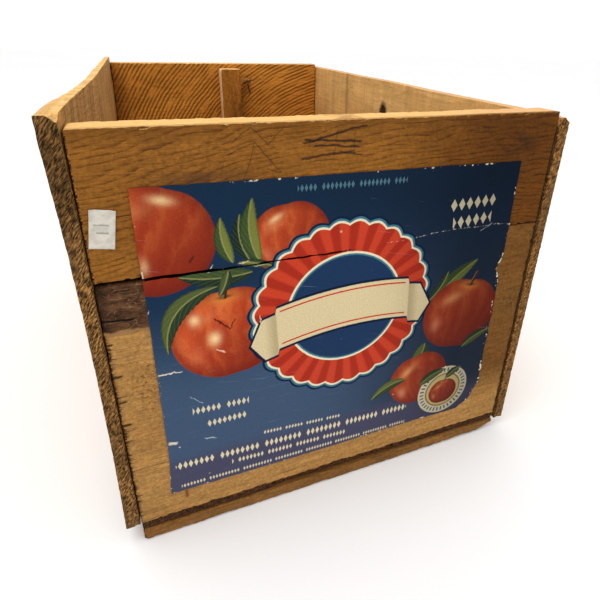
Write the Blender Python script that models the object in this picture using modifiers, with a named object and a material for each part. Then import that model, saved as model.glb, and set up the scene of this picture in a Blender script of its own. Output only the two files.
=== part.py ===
"""A wooden one-bushel apple crate, nailed up from sawn softwood boards.

Frame: metres, +Z up. The labelled end faces -Y and the length of the crate runs along Y. The origin
is on the ground, under the middle of the crate.
"""

import math

import bmesh
import bpy
from mathutils import Matrix, Vector

INCH = 0.0254
GAP = 0.0003  # between pieces that touch

# The crate as a whole
INNER_WIDTH = 11.5 * INCH
OUTER_LENGTH = 19.5 * INCH
END_HEIGHT = 0.2612  # a 10 1/2 in end that has shrunk across the grain
END_THICKNESS = 0.75 * INCH
END_INSET = 0.0008  # the ends stand this far inside the ends of the side boards
SIDE_THICKNESS = 0.375 * INCH
BOTTOM_THICKNESS = 0.28 * INCH
CLEAT_THICKNESS = 0.375 * INCH
CLEAT_DEPTH = 0.75 * INCH

# Heights of the joints and edges, measured up from the bottom edge of the ends
FRONT_JOINT = 0.182
REAR_JOINT = 0.105
LEFT_SIDE_SPAN = (0.0, 0.2674)
RIGHT_SIDE_SPAN = (-0.0068, 0.2572)

# The three bottom boards: the places of the joints across the width, and how far each board's ends
# stand back from the faces of the crate's ends
BOTTOM_JOINTS = (-0.0548, 0.0464)
BOTTOM_JOINT_GAP = 0.002
BOTTOM_SETBACKS = (0.0012, 0.0030, 0.0016)

# The batten inside the rear end
BATTEN_WIDTH = 0.0274
BATTEN_THICKNESS = 0.75 * INCH
BATTEN_CENTRE = 0.0125
BATTEN_TOP = 0.2550

# The knothole in the right side board
KNOTHOLE_WIDTH = 0.0140
KNOTHOLE_HEIGHT = 0.0200
KNOTHOLE_FROM_FRONT = 0.2485
KNOTHOLE_UP = 0.2215
KNOTHOLE_SIDES = 20

# Paper on the front end: left, right, bottom and top edges of the label
PAPER_THICKNESS = 0.0003
LABEL_LEFT, LABEL_RIGHT = -0.1230, 0.1207
LABEL_BOTTOM, LABEL_TOP = 0.0200, 0.2308
LABEL_TORN_WIDTH, LABEL_TORN_HEIGHT = 0.0190, 0.0240  # the corner torn off at the lower right
STICKER_WIDTH, STICKER_HEIGHT = 0.0118, 0.0206
STICKER_CENTRE = (-0.1373, 0.2122)
STICKER_TILT = math.radians(-9)

# Nails: a flat head driven flush, a round shank and a point
NAIL_HEAD_RADIUS = 0.0032
NAIL_HEAD_THICKNESS = 0.0010
NAIL_SHANK_RADIUS = 0.0012
NAIL_POINT = 0.0040
NAIL_SIDES = 8
NAIL_SUNK = 0.0004  # the head's depth below the wood
LONG_NAIL, SHORT_NAIL = 1.75 * INCH, 1.25 * INCH
HOLE_OPENING = 0.0020  # a nail hole's cutter stands this far out of the wood
FRONT_SIDE_NAILS = (0.035, 0.085, 0.150, 0.205, 0.240)
REAR_SIDE_NAILS = (0.035, 0.080, 0.135, 0.190, 0.240)
CLEAT_NAILS = (-0.130, -0.072, -0.036, 0.029, 0.062, 0.130)
BATTEN_NAILS = (0.030, 0.085, 0.140, 0.230)
NAIL_LINE_OFFSET = 0.003  # side nails and cleat nails pass each other either side of the middle

# Corrugated fasteners across the joint in each end
WAVE_PLACES = (-0.080, 0.080)
WAVE_LENGTH = 0.007
WAVE_COUNT = 4
WAVE_HEIGHT = 0.0016
WAVE_STEEL = 0.0008
WAVE_DEPTH = 0.5 * INCH
WAVE_STEPS = 6  # straight pieces in one wave

BOARD_EDGE = 0.0008  # the softened edges of the boards

# Levels and faces worked out from the sizes above
HALF_WIDTH = INNER_WIDTH / 2
HALF_LENGTH = OUTER_LENGTH / 2
BOTTOM_LEVEL = CLEAT_THICKNESS + GAP
END_LEVEL = BOTTOM_LEVEL + BOTTOM_THICKNESS + GAP
END_FACE = HALF_LENGTH - END_INSET
END_MIDDLE = END_FACE - END_THICKNESS / 2
END_INSIDE = END_FACE - END_THICKNESS
SIDE_INSIDE = HALF_WIDTH + GAP
SIDE_OUTSIDE = SIDE_INSIDE + SIDE_THICKNESS


def clear_scene():
    for old in list(bpy.data.objects):
        bpy.data.objects.remove(old, do_unlink=True)


def new_collection(name):
    made = bpy.data.collections.new(name)
    bpy.context.scene.collection.children.link(made)
    return made


def new_material(name, colour, roughness, metallic=0.0):
    material = bpy.data.materials.new(name)
    material.use_nodes = True
    shader = material.node_tree.nodes["Principled BSDF"]
    shader.inputs["Base Color"].default_value = (*colour, 1.0)
    shader.inputs["Roughness"].default_value = roughness
    shader.inputs["Metallic"].default_value = metallic
    return material


def add_part(name, mesh, material, place=(0, 0, 0), rotation=None):
    """One named piece of the crate, parented to the crate's empty."""
    part = bpy.data.objects.new(name, mesh)
    PARTS.objects.link(part)
    part.parent = CRATE
    part.location = place
    if rotation is not None:
        part.rotation_euler = rotation.to_euler()
    if mesh.materials:
        mesh.materials[0] = material
    else:
        mesh.materials.append(material)
    return part


def add_cutter(name, mesh, place, rotation=None):
    """A shape that is taken away from boards and is no part of the crate."""
    cutter = bpy.data.objects.new(name, mesh)
    CUTTERS.objects.link(cutter)
    cutter.parent = CRATE
    cutter.location = place
    if rotation is not None:
        cutter.rotation_euler = rotation.to_euler()
    cutter.hide_render = True
    cutter.display_type = "WIRE"
    return cutter


def cut(board, cutter):
    boolean = board.modifiers.new(f"cut_{cutter.name}", "BOOLEAN")
    boolean.operation = "DIFFERENCE"
    boolean.solver = "EXACT"
    boolean.object = cutter


def add_board(name, low, high, material):
    """A sawn board between two corners, with its edges softened."""
    low, high = Vector(low), Vector(high)
    mesh = bpy.data.meshes.new(name)
    shape = bmesh.new()
    bmesh.ops.create_cube(shape, size=1.0, matrix=Matrix.Diagonal((*(high - low), 1.0)))
    shape.to_mesh(mesh)
    shape.free()
    board = add_part(name, mesh, material, (low + high) / 2)
    bevel = board.modifiers.new("softened_edges", "BEVEL")
    bevel.width = BOARD_EDGE
    bevel.segments = 1
    bevel.limit_method = "ANGLE"
    return board


def turned_mesh(name, profile, sides):
    """A shape turned about Z from (radius, height) points that run down its outside."""
    outline = bpy.data.meshes.new(f"{name}_profile")
    points = [(radius, 0.0, height) for radius, height in profile]
    outline.from_pydata(points, [(i, i + 1) for i in range(len(points) - 1)], [])
    guide = bpy.data.objects.new(f"{name}_guide", outline)
    CUTTERS.objects.link(guide)
    screw = guide.modifiers.new("turned", "SCREW")
    screw.steps = screw.render_steps = sides
    screw.use_merge_vertices = True
    screw.merge_threshold = 0.00001
    mesh = evaluated_mesh(name, guide)
    bpy.data.objects.remove(guide)
    return mesh


def evaluated_mesh(name, shape):
    """The shape's mesh with its modifiers applied, or a curve's as a welded mesh."""
    graph = bpy.context.evaluated_depsgraph_get()
    mesh = bpy.data.meshes.new_from_object(shape.evaluated_get(graph))
    mesh.name = name
    welded = bmesh.new()
    welded.from_mesh(mesh)
    bmesh.ops.remove_doubles(welded, verts=welded.verts, dist=0.00001)
    welded.to_mesh(mesh)
    welded.free()
    return mesh


def outline_mesh(name, outline, thickness):
    """A flat plate of the given outline in XY, with its thickness centred on z = 0."""
    curve = bpy.data.curves.new(name, "CURVE")
    curve.dimensions = "2D"
    curve.fill_mode = "BOTH"
    curve.extrude = thickness / 2
    spline = curve.splines.new("POLY")
    spline.points.add(len(outline) - 1)
    for point, (x, y) in zip(spline.points, outline):
        point.co = (x, y, 0.0, 1.0)
    spline.use_cyclic_u = True
    guide = bpy.data.objects.new(name, curve)
    CUTTERS.objects.link(guide)
    mesh = evaluated_mesh(name, guide)
    bpy.data.objects.remove(guide)
    return mesh


def nail_mesh(name, length):
    """A nail with the top of its head at z = 0, pointing down."""
    profile = [
        (0.0, 0.0),
        (NAIL_HEAD_RADIUS, 0.0),
        (NAIL_HEAD_RADIUS, -NAIL_HEAD_THICKNESS),
        (NAIL_SHANK_RADIUS, -NAIL_HEAD_THICKNESS),
        (NAIL_SHANK_RADIUS, NAIL_POINT - length),
        (0.0, -length),
    ]
    mesh = turned_mesh(name, profile, NAIL_SIDES)
    mesh.shade_smooth()
    mesh.set_sharp_from_angle(angle=math.radians(40))
    return mesh


def nail_hole_mesh(name, length):
    """The clearance that a nail needs, open at its head."""
    profile = [
        (0.0, HOLE_OPENING),
        (NAIL_HEAD_RADIUS + GAP, HOLE_OPENING),
        (NAIL_HEAD_RADIUS + GAP, -NAIL_HEAD_THICKNESS - GAP),
        (NAIL_SHANK_RADIUS + GAP, -NAIL_HEAD_THICKNESS - GAP),
        (NAIL_SHANK_RADIUS + GAP, NAIL_POINT - length),
        (0.0, -length - 3 * GAP),
    ]
    return turned_mesh(name, profile, NAIL_SIDES)


def drive_nail(name, kind, head, direction, boards):
    """A nail with its head at the given place, driven through the boards, which it cuts."""
    nail, hole = kind
    rotation = Vector(direction).to_track_quat("-Z", "Y")
    place = Vector(head) + Vector(direction) * NAIL_SUNK
    add_part(name, nail, STEEL, place, rotation)
    cutter = add_cutter(f"{name}_hole", hole, place, rotation)
    for board in boards:
        cut(board, cutter)


def wave_outline(steel, extra):
    """Both sides of a corrugated strip that runs along Y, lengthened by extra at each end."""
    half = WAVE_LENGTH * WAVE_COUNT / 2
    steps = WAVE_COUNT * WAVE_STEPS
    middle, normals = [], []
    for step in range(steps + 1):
        along = -half + 2 * half * step / steps
        turn = 2 * math.pi * along / WAVE_LENGTH
        slope = WAVE_HEIGHT / 2 * 2 * math.pi / WAVE_LENGTH * math.cos(turn)
        middle.append(Vector((WAVE_HEIGHT / 2 * math.sin(turn), along)))
        normals.append(Vector((1.0, -slope)).normalized())
    middle[0].y -= extra
    middle[-1].y += extra
    right = [point + normal * steel / 2 for point, normal in zip(middle, normals)]
    left = [point - normal * steel / 2 for point, normal in zip(middle, normals)]
    return [tuple(point) for point in right + left[::-1]]


def add_ends():
    """Each end is two boards, one above the other."""
    front = add_end("front", -1, FRONT_JOINT)
    rear = add_end("rear", 1, REAR_JOINT)
    return front, rear


def add_end(name, side, joint):
    """Lower and upper board of one end; side is -1 at the front and 1 at the rear."""
    faces = sorted((side * END_INSIDE, side * END_FACE))
    spans = {
        "lower": (END_LEVEL, END_LEVEL + joint - GAP),
        "upper": (END_LEVEL + joint + GAP, END_LEVEL + END_HEIGHT),
    }
    return [
        add_board(
            f"{name}_end_{level}_board",
            (-HALF_WIDTH, faces[0], low),
            (HALF_WIDTH, faces[1], high),
            END_WOOD[name, level],
        )
        for level, (low, high) in spans.items()
    ]


def add_side(name, side, span):
    """A one-piece side board, nailed outside the ends."""
    faces = sorted((side * SIDE_INSIDE, side * SIDE_OUTSIDE))
    low, high = (END_LEVEL + height for height in span)
    return add_board(
        f"{name}_side_board",
        (faces[0], -HALF_LENGTH, low),
        (faces[1], HALF_LENGTH, high),
        SIDE_WOOD[name],
    )


def add_bottom():
    """Three thin boards between the side boards and under the ends."""
    edges = (-HALF_WIDTH, *BOTTOM_JOINTS, HALF_WIDTH)
    boards = []
    for index, name in enumerate(("left", "centre", "right")):
        low = edges[index] + (BOTTOM_JOINT_GAP / 2 if index > 0 else 0.0)
        high = edges[index + 1] - (BOTTOM_JOINT_GAP / 2 if index < 2 else 0.0)
        reach = END_FACE - BOTTOM_SETBACKS[index]
        boards.append(
            add_board(
                f"bottom_board_{name}",
                (low, -reach, BOTTOM_LEVEL),
                (high, reach, BOTTOM_LEVEL + BOTTOM_THICKNESS),
                BOTTOM_WOOD,
            )
        )
    return boards


def add_cleat(name, side):
    """The strip under one end, which the crate stands on."""
    faces = sorted((side * (END_FACE - CLEAT_DEPTH), side * END_FACE))
    return add_board(
        f"{name}_bottom_cleat",
        (-HALF_WIDTH, faces[0], 0.0),
        (HALF_WIDTH, faces[1], CLEAT_THICKNESS),
        CLEAT_WOOD,
    )


def add_batten():
    """The upright strip inside the rear end."""
    face = END_INSIDE - GAP
    return add_board(
        "rear_end_batten",
        (BATTEN_CENTRE - BATTEN_WIDTH / 2, face - BATTEN_THICKNESS, END_LEVEL),
        (BATTEN_CENTRE + BATTEN_WIDTH / 2, face, END_LEVEL + BATTEN_TOP),
        BATTEN_WOOD,
    )


def cut_knothole(board):
    """A loose knot has fallen out of the right side board."""
    mesh = bpy.data.meshes.new("knothole")
    shape = bmesh.new()
    bmesh.ops.create_cone(
        shape,
        cap_ends=True,
        segments=KNOTHOLE_SIDES,
        radius1=KNOTHOLE_WIDTH / 2,
        radius2=KNOTHOLE_WIDTH / 2,
        depth=4 * SIDE_THICKNESS,
        matrix=Matrix.Diagonal((1.0, KNOTHOLE_HEIGHT / KNOTHOLE_WIDTH, 1.0, 1.0)),
    )
    shape.to_mesh(mesh)
    shape.free()
    place = (SIDE_INSIDE, -END_FACE + KNOTHOLE_FROM_FRONT, END_LEVEL + KNOTHOLE_UP)
    through = Vector((1, 0, 0)).to_track_quat("Z", "Y")
    cut(board, add_cutter("knothole", mesh, place, through))


def paper_at(name, mesh, material, place, tilt=0.0):
    """A sheet of paper on the front end, at a place across it and up it."""
    across, up = place
    depth = -END_FACE - GAP - PAPER_THICKNESS / 2
    upright = Matrix.Rotation(math.pi / 2, 3, "X") @ Matrix.Rotation(tilt, 3, "Z")
    return add_part(name, mesh, material, (across, depth, END_LEVEL + up), upright.to_quaternion())


def add_label():
    """The large label, with its lower right corner torn off."""
    half_width = (LABEL_RIGHT - LABEL_LEFT) / 2
    half_height = (LABEL_TOP - LABEL_BOTTOM) / 2
    outline = [
        (-half_width, -half_height),
        (half_width - LABEL_TORN_WIDTH, -half_height),
        (half_width - LABEL_TORN_WIDTH * 0.4, -half_height + LABEL_TORN_HEIGHT * 0.3),
        (half_width, -half_height + LABEL_TORN_HEIGHT),
        (half_width, half_height),
        (-half_width, half_height),
    ]
    centre = ((LABEL_LEFT + LABEL_RIGHT) / 2, (LABEL_BOTTOM + LABEL_TOP) / 2)
    mesh = outline_mesh("label", outline, PAPER_THICKNESS)
    return paper_at("label", mesh, LABEL_PAPER, centre)


def add_sticker():
    """The small blank price sticker beside the label."""
    half_width, half_height = STICKER_WIDTH / 2, STICKER_HEIGHT / 2
    outline = [
        (-half_width, -half_height),
        (half_width, -half_height),
        (half_width, half_height),
        (-half_width, half_height),
    ]
    mesh = outline_mesh("price_sticker", outline, PAPER_THICKNESS)
    return paper_at("price_sticker", mesh, STICKER_PAPER, STICKER_CENTRE, STICKER_TILT)


def drive_side_nails(name, side, side_board, front, rear):
    """A row of nails through each end of a side board into the crate's ends."""
    for end_name, end_side, end_boards, joint, heights in (
        ("front", -1, front, FRONT_JOINT, FRONT_SIDE_NAILS),
        ("rear", 1, rear, REAR_JOINT, REAR_SIDE_NAILS),
    ):
        for number, height in enumerate(heights, 1):
            end_board = end_boards[0] if height < joint else end_boards[1]
            across = end_side * (END_MIDDLE - NAIL_LINE_OFFSET)
            head = (side * SIDE_OUTSIDE, across, END_LEVEL + height)
            drive_nail(
                f"{name}_side_nail_{end_name}_{number}",
                LONG,
                head,
                (-side, 0, 0),
                (side_board, end_board),
            )


def drive_cleat_nails(name, side, cleat, bottom, lower_board):
    """Nails up through a cleat and the bottom boards into the end."""
    for number, across in enumerate(CLEAT_NAILS, 1):
        bottom_board = bottom[sum(across > joint for joint in BOTTOM_JOINTS)]
        head = (across, side * (END_MIDDLE + NAIL_LINE_OFFSET), 0.0)
        boards = (cleat, bottom_board, lower_board)
        drive_nail(f"{name}_cleat_nail_{number}", LONG, head, (0, 0, 1), boards)


def drive_batten_nails(batten, rear):
    """Nails through the rear end's boards into the batten behind them."""
    for number, height in enumerate(BATTEN_NAILS, 1):
        rear_board = rear[0] if height < REAR_JOINT else rear[1]
        head = (BATTEN_CENTRE, END_FACE, END_LEVEL + height)
        drive_nail(f"batten_nail_{number}", SHORT, head, (0, -1, 0), (rear_board, batten))


def drive_corrugated_fasteners(name, side, boards, joint):
    """Corrugated steel strips driven across the joint, from the outside face of an end."""
    strip = outline_mesh("corrugated_fastener", wave_outline(WAVE_STEEL, 0.0), WAVE_DEPTH)
    slot = outline_mesh(
        "corrugated_slot",
        wave_outline(WAVE_STEEL + 2 * GAP, GAP),
        WAVE_DEPTH + 2 * GAP + HOLE_OPENING,
    )
    upright = Matrix.Rotation(math.pi / 2, 3, "X").to_quaternion()
    for number, across in enumerate(WAVE_PLACES, 1):
        middle = END_FACE - NAIL_SUNK - WAVE_DEPTH / 2
        opened = middle + (HOLE_OPENING - 2 * GAP) / 2 + GAP
        height = END_LEVEL + joint
        label = f"{name}_corrugated_fastener_{number}"
        add_part(label, strip, STEEL, (across, side * middle, height), upright)
        cutter = add_cutter(f"{label}_slot", slot, (across, side * opened, height), upright)
        for board in boards:
            cut(board, cutter)


clear_scene()
PARTS = new_collection("apple_crate")
CUTTERS = new_collection("cutters")
CRATE = bpy.data.objects.new("crate", None)
PARTS.objects.link(CRATE)

STEEL = new_material("nail_steel", (0.16, 0.10, 0.07), 0.6, 0.8)
END_WOOD = {
    ("front", "upper"): new_material("front_upper_wood", (0.28, 0.13, 0.04), 0.7),
    ("front", "lower"): new_material("front_lower_wood", (0.45, 0.26, 0.09), 0.7),
    ("rear", "upper"): new_material("rear_upper_wood", (0.30, 0.14, 0.04), 0.7),
    ("rear", "lower"): new_material("rear_lower_wood", (0.38, 0.20, 0.07), 0.7),
}
SIDE_WOOD = {
    "left": new_material("left_side_wood", (0.25, 0.14, 0.06), 0.75),
    "right": new_material("right_side_wood", (0.50, 0.30, 0.13), 0.75),
}
BOTTOM_WOOD = new_material("bottom_wood", (0.22, 0.11, 0.04), 0.75)
CLEAT_WOOD = new_material("cleat_wood", (0.32, 0.18, 0.07), 0.75)
BATTEN_WOOD = new_material("batten_wood", (0.30, 0.15, 0.05), 0.7)
LABEL_PAPER = new_material("label_paper", (0.02, 0.05, 0.12), 0.55)
STICKER_PAPER = new_material("sticker_paper", (0.80, 0.78, 0.72), 0.6)

LONG = (nail_mesh("long_nail", LONG_NAIL), nail_hole_mesh("long_nail_hole", LONG_NAIL))
SHORT = (nail_mesh("short_nail", SHORT_NAIL), nail_hole_mesh("short_nail_hole", SHORT_NAIL))

front_end, rear_end = add_ends()
left_side = add_side("left", -1, LEFT_SIDE_SPAN)
right_side = add_side("right", 1, RIGHT_SIDE_SPAN)
bottom_boards = add_bottom()
front_cleat = add_cleat("front", -1)
rear_cleat = add_cleat("rear", 1)
batten_strip = add_batten()
cut_knothole(right_side)
add_label()
add_sticker()
drive_side_nails("left", -1, left_side, front_end, rear_end)
drive_side_nails("right", 1, right_side, front_end, rear_end)
drive_cleat_nails("front", -1, front_cleat, bottom_boards, front_end[0])
drive_cleat_nails("rear", 1, rear_cleat, bottom_boards, rear_end[0])
drive_batten_nails(batten_strip, rear_end)
drive_corrugated_fasteners("front", -1, front_end, FRONT_JOINT)
drive_corrugated_fasteners("rear", 1, rear_end, REAR_JOINT)
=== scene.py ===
"""Looks of the wooden apple crate: worn sawn boards, a torn paper label, rusty nails."""

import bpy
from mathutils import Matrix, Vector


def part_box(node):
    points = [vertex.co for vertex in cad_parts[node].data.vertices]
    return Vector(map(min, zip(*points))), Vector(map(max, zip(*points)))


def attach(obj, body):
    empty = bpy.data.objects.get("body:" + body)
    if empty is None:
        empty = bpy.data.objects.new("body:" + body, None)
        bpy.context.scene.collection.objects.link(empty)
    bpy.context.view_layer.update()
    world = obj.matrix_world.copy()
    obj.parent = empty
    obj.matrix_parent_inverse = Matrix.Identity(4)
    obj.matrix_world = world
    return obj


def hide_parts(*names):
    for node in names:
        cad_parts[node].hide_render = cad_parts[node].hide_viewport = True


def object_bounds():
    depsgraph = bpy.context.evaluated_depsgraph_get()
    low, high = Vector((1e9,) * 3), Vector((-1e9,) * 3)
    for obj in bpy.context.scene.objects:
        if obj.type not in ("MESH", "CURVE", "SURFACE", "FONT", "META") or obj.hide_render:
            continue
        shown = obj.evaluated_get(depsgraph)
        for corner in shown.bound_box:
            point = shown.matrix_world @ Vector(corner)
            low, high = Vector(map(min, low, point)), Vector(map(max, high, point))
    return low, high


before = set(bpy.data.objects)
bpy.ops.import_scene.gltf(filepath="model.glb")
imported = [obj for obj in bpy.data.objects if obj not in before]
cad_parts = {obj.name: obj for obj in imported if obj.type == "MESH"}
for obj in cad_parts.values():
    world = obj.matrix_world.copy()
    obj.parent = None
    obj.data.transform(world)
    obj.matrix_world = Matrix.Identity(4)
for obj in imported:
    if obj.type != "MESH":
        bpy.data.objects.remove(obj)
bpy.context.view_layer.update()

import itertools
import math

import bmesh
import bpy
import numpy as np
from mathutils import Matrix, Vector

MM = 0.001  # the shapes and the materials below are written in millimetres
END_LEVEL = 1000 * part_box("front_end_lower_board")[0].z  # the lower edge of the crate's ends
FRONT_FACE = 1000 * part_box("front_end_lower_board")[0].y
CRATE_TOP = 1000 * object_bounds()[1].z
JOINT_LEVEL = END_LEVEL + 182.0  # the middle of the joint between the two front boards
JOINT_HALF_GAP = 0.3
SIDE_MIDDLE = 500 * sum(corner.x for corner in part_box("right_side_board"))  # of its thickness
SAW_CENTRE = (194.0, 45.0)  # x and z of the centre of the saw's arcs on the rear end
KNOTHOLE = (FRONT_FACE + 248.5, END_LEVEL + 221.5)  # y and z of the middle of the knothole
KNOTHOLE_RADII = (7.0, 10.0)


# ---------------------------------------------------------------- numbers that vary smoothly


def lattice(cell, seed):
    """A repeatable number from -1 to 1 for each whole-numbered cell."""
    mixed = cell[..., 0] * 73856093 ^ cell[..., 1] * 19349663 ^ cell[..., 2] * 83492791
    mixed = (mixed ^ seed * 40503) & 0xFFFFFFFF
    mixed = (mixed ^ (mixed >> 15)) * 1274126177 & 0xFFFFFFFF
    mixed = (mixed ^ (mixed >> 13)) * 1103515245 & 0xFFFFFFFF
    mixed = mixed ^ (mixed >> 16)
    return (mixed & 0xFFFF) / 32767.5 - 1


def wander(points, size, seed, octaves=3):
    """Smooth noise from about -1 to 1, with lumps about `size` mm wide."""
    total = np.zeros(len(points))
    for octave in range(octaves):
        place = points / np.array(size, float) * 2**octave
        cell = np.floor(place).astype(np.int64)
        part = place - cell
        part = part * part * (3 - 2 * part)
        for corner in itertools.product((0, 1), repeat=3):
            weight = np.where(np.array(corner) == 1, part, 1 - part).prod(axis=-1)
            total += weight * lattice(cell + np.array(corner), seed + octave) / 2**octave
    return total / (2 - 0.5 ** (octaves - 1))


def line_wander(values, size, seed, octaves, offset=0):
    """Smooth noise along a line; another offset gives another line."""
    return wander(np.stack([values, values * 0, values * 0 + offset], axis=1), size, seed, octaves)


def ramp(value, start, end):
    """0 before start, 1 after end, smooth in between."""
    part = np.clip((value - start) / (end - start), 0, 1)
    return part * part * (3 - 2 * part)


# ---------------------------------------------------------------- meshes


EDGE_OFFSETS = (0, 0.35, 0.8, 1.4, 2.2, 3.4, 5.0)  # places of the grid lines next to an edge
CLOSEST_LINES = 0.12


def graded(low, high, step, extra=()):
    """Grid lines from low to high, closer together near both ends."""
    near = [offset for offset in EDGE_OFFSETS if offset < (high - low) / 2 - 0.4]
    count = max(2, int(round((high - low - 2 * near[-1]) / step)) + 1)
    middle = np.linspace(low + near[-1], high - near[-1], count)
    lines = [low + offset for offset in near] + list(middle) + [high - offset for offset in near]
    lines += [line for line in extra if low < line < high]
    lines = np.unique(np.round(lines, 3))
    keep = np.concatenate(([True], np.diff(lines) > CLOSEST_LINES))
    keep[-1] = True
    return lines[keep]


def shell(xs, ys, zs):
    """The surface of a block as one closed mesh of quads, on the given grid lines."""
    sizes = (len(xs), len(ys), len(zs))
    cells = np.indices(sizes)
    outside = np.zeros(sizes, bool)
    for axis, size in enumerate(sizes):
        outside |= (cells[axis] == 0) | (cells[axis] == size - 1)
    number = np.full(sizes, -1)
    number[outside] = np.arange(outside.sum())
    points = np.stack([xs[cells[0]], ys[cells[1]], zs[cells[2]]], axis=-1)[outside]
    faces = []
    for axis in range(3):
        for end in (0, -1):
            sheet = np.take(number, end, axis=axis)
            quads = np.stack([sheet[:-1, :-1], sheet[1:, :-1], sheet[1:, 1:], sheet[:-1, 1:]], axis=-1)
            quads = quads.reshape(-1, 4)
            if (end == 0) != (axis == 1):
                quads = quads[:, ::-1]
            faces.append(quads)
    return points, np.concatenate(faces)


def box_mm(node):
    """The low and high corners of a CAD node, in mm."""
    return (1000 * np.array(corner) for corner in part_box(node))


def add_layer(piece, name, values):
    """Numbers on a piece's points, for its material to read."""
    layer = piece.data.attributes.new(name, "FLOAT", "POINT")
    layer.data.foreach_set("value", values.astype(np.float32))


def thicken(piece, thickness):
    """Makes a sheet of paper solid, towards its back."""
    thick = piece.modifiers.new("paper", "SOLIDIFY")
    thick.thickness = thickness * MM
    thick.offset = -1


def round_edges(points, low, high, radius):
    """Rounds the edges of a block by a radius that may differ from point to point."""
    radius = np.broadcast_to(radius, (len(points),))[:, None]
    core = np.clip(points, low + radius, high - radius)
    out = points - core
    length = np.linalg.norm(out, axis=1, keepdims=True)
    return core + out * np.minimum(1, radius / np.maximum(length, 1e-9))


def new_piece(name, points, faces, material, replaced, sharp=40):
    """A piece of the crate from points in mm, riding on its one body."""
    mesh = bpy.data.meshes.new(name)
    mesh.from_pydata((np.asarray(points) * MM).tolist(), [], np.asarray(faces).tolist())
    mesh.validate()
    mesh.polygons.foreach_set("use_smooth", [True] * len(mesh.polygons))
    mesh.set_sharp_from_angle(angle=math.radians(sharp))
    mesh.materials.append(material)
    piece = bpy.data.objects.new(name, mesh)
    bpy.context.scene.collection.objects.link(piece)
    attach(piece, "root")
    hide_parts(*replaced)
    return piece


# ---------------------------------------------------------------- materials


class Value:
    """A number or a colour inside a material; arithmetic on it adds Math nodes."""

    def __init__(self, tree, socket):
        self.tree = tree
        self.socket = socket

    def __add__(self, other):
        return calculate("ADD", self, other)

    def __sub__(self, other):
        return calculate("SUBTRACT", self, other)

    def __mul__(self, other):
        return calculate("MULTIPLY", self, other)

    def __truediv__(self, other):
        return calculate("DIVIDE", self, other)

    def __rsub__(self, other):
        return calculate("SUBTRACT", other, self)

    def __neg__(self):
        return calculate("MULTIPLY", self, -1.0)

    __radd__ = __add__
    __rmul__ = __mul__


def feed(socket, value):
    """Links a Value to a socket, or sets the socket to a plain number or colour."""
    if isinstance(value, Value):
        value.tree.links.new(value.socket, socket)
    elif socket.type == "RGBA":
        socket.default_value = (*value, 1.0)
    else:
        socket.default_value = value


def calculate(operation, *values):
    tree = next(value.tree for value in values if isinstance(value, Value))
    node = tree.nodes.new("ShaderNodeMath")
    node.operation = operation
    for socket, value in zip(node.inputs, values):
        feed(socket, value)
    return Value(tree, node.outputs[0])


def absolute(value):
    return calculate("ABSOLUTE", value)


def root(value):
    return calculate("SQRT", value)


def fraction(value):
    return calculate("FRACT", value)


def larger(first, second):
    return calculate("MAXIMUM", first, second)


def power(value, exponent):
    return calculate("POWER", value, exponent)


def bell(value, width):
    """1 where value is 0, falling off over about width."""
    scaled = value / width
    return calculate("EXPONENT", -(scaled * scaled))


def fused(value, factor, added):
    """value * factor + added, in one node."""
    return calculate("MULTIPLY_ADD", value, factor, added)


def length_of(across, up):
    return root(across * across + up * up)


def rise(value, start, end, low=0.0, high=1.0):
    """low before start, high after end, smooth in between; start may be above end."""
    node = value.tree.nodes.new("ShaderNodeMapRange")
    node.interpolation_type = "SMOOTHSTEP"
    for socket, item in zip(node.inputs, (value, start, end, low, high)):
        feed(socket, item)
    return Value(value.tree, node.outputs[0])


def mix(factor, first, second):
    """The first colour at factor 0 and the second at 1."""
    tree = next(item.tree for item in (factor, first, second) if isinstance(item, Value))
    node = tree.nodes.new("ShaderNodeMix")
    node.data_type = "RGBA"
    feed(node.inputs[0], factor)
    feed(node.inputs[6], first)
    feed(node.inputs[7], second)
    return Value(tree, node.outputs[2])


def tinted(colour, factors):
    """The colour with red, green and blue each multiplied by its own factor."""
    tree = colour.tree
    node = tree.nodes.new("ShaderNodeVectorMath")
    node.operation = "MULTIPLY"
    feed(node.inputs[0], colour)
    node.inputs[1].default_value = factors
    return Value(tree, node.outputs[0])


def shade(colour, factor):
    """The colour made lighter or darker by a factor."""
    node = colour.tree.nodes.new("ShaderNodeVectorMath")
    node.operation = "SCALE"
    feed(node.inputs[0], colour)
    feed(node.inputs["Scale"], factor)
    return Value(colour.tree, node.outputs[0])


def spot(*parts):
    """A place from its three coordinates."""
    tree = next(part.tree for part in parts if isinstance(part, Value))
    node = tree.nodes.new("ShaderNodeCombineXYZ")
    for socket, part in zip(node.inputs, parts):
        feed(socket, part)
    return Value(tree, node.outputs[0])


def noise(place, detail, roughness=0.55):
    """Noise about 0.5, at a place in mm that the caller has already stretched."""
    node = place.tree.nodes.new("ShaderNodeTexNoise")
    feed(node.inputs["Vector"], place)
    node.inputs["Scale"].default_value = 1.0
    node.inputs["Detail"].default_value = detail
    node.inputs["Roughness"].default_value = roughness
    return Value(place.tree, node.outputs[0])


def speckles(place, scale):
    """Distance to the nearest of many scattered points."""
    node = place.tree.nodes.new("ShaderNodeTexVoronoi")
    feed(node.inputs["Vector"], place)
    node.inputs["Scale"].default_value = scale
    return Value(place.tree, node.outputs["Distance"])


def srgb(red, green, blue):
    """A linear colour from the 0 to 255 numbers of a screen colour."""
    return tuple(
        part / 12.92 if part <= 0.04045 else ((part + 0.055) / 1.055) ** 2.4
        for part in (red / 255, green / 255, blue / 255)
    )


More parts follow.
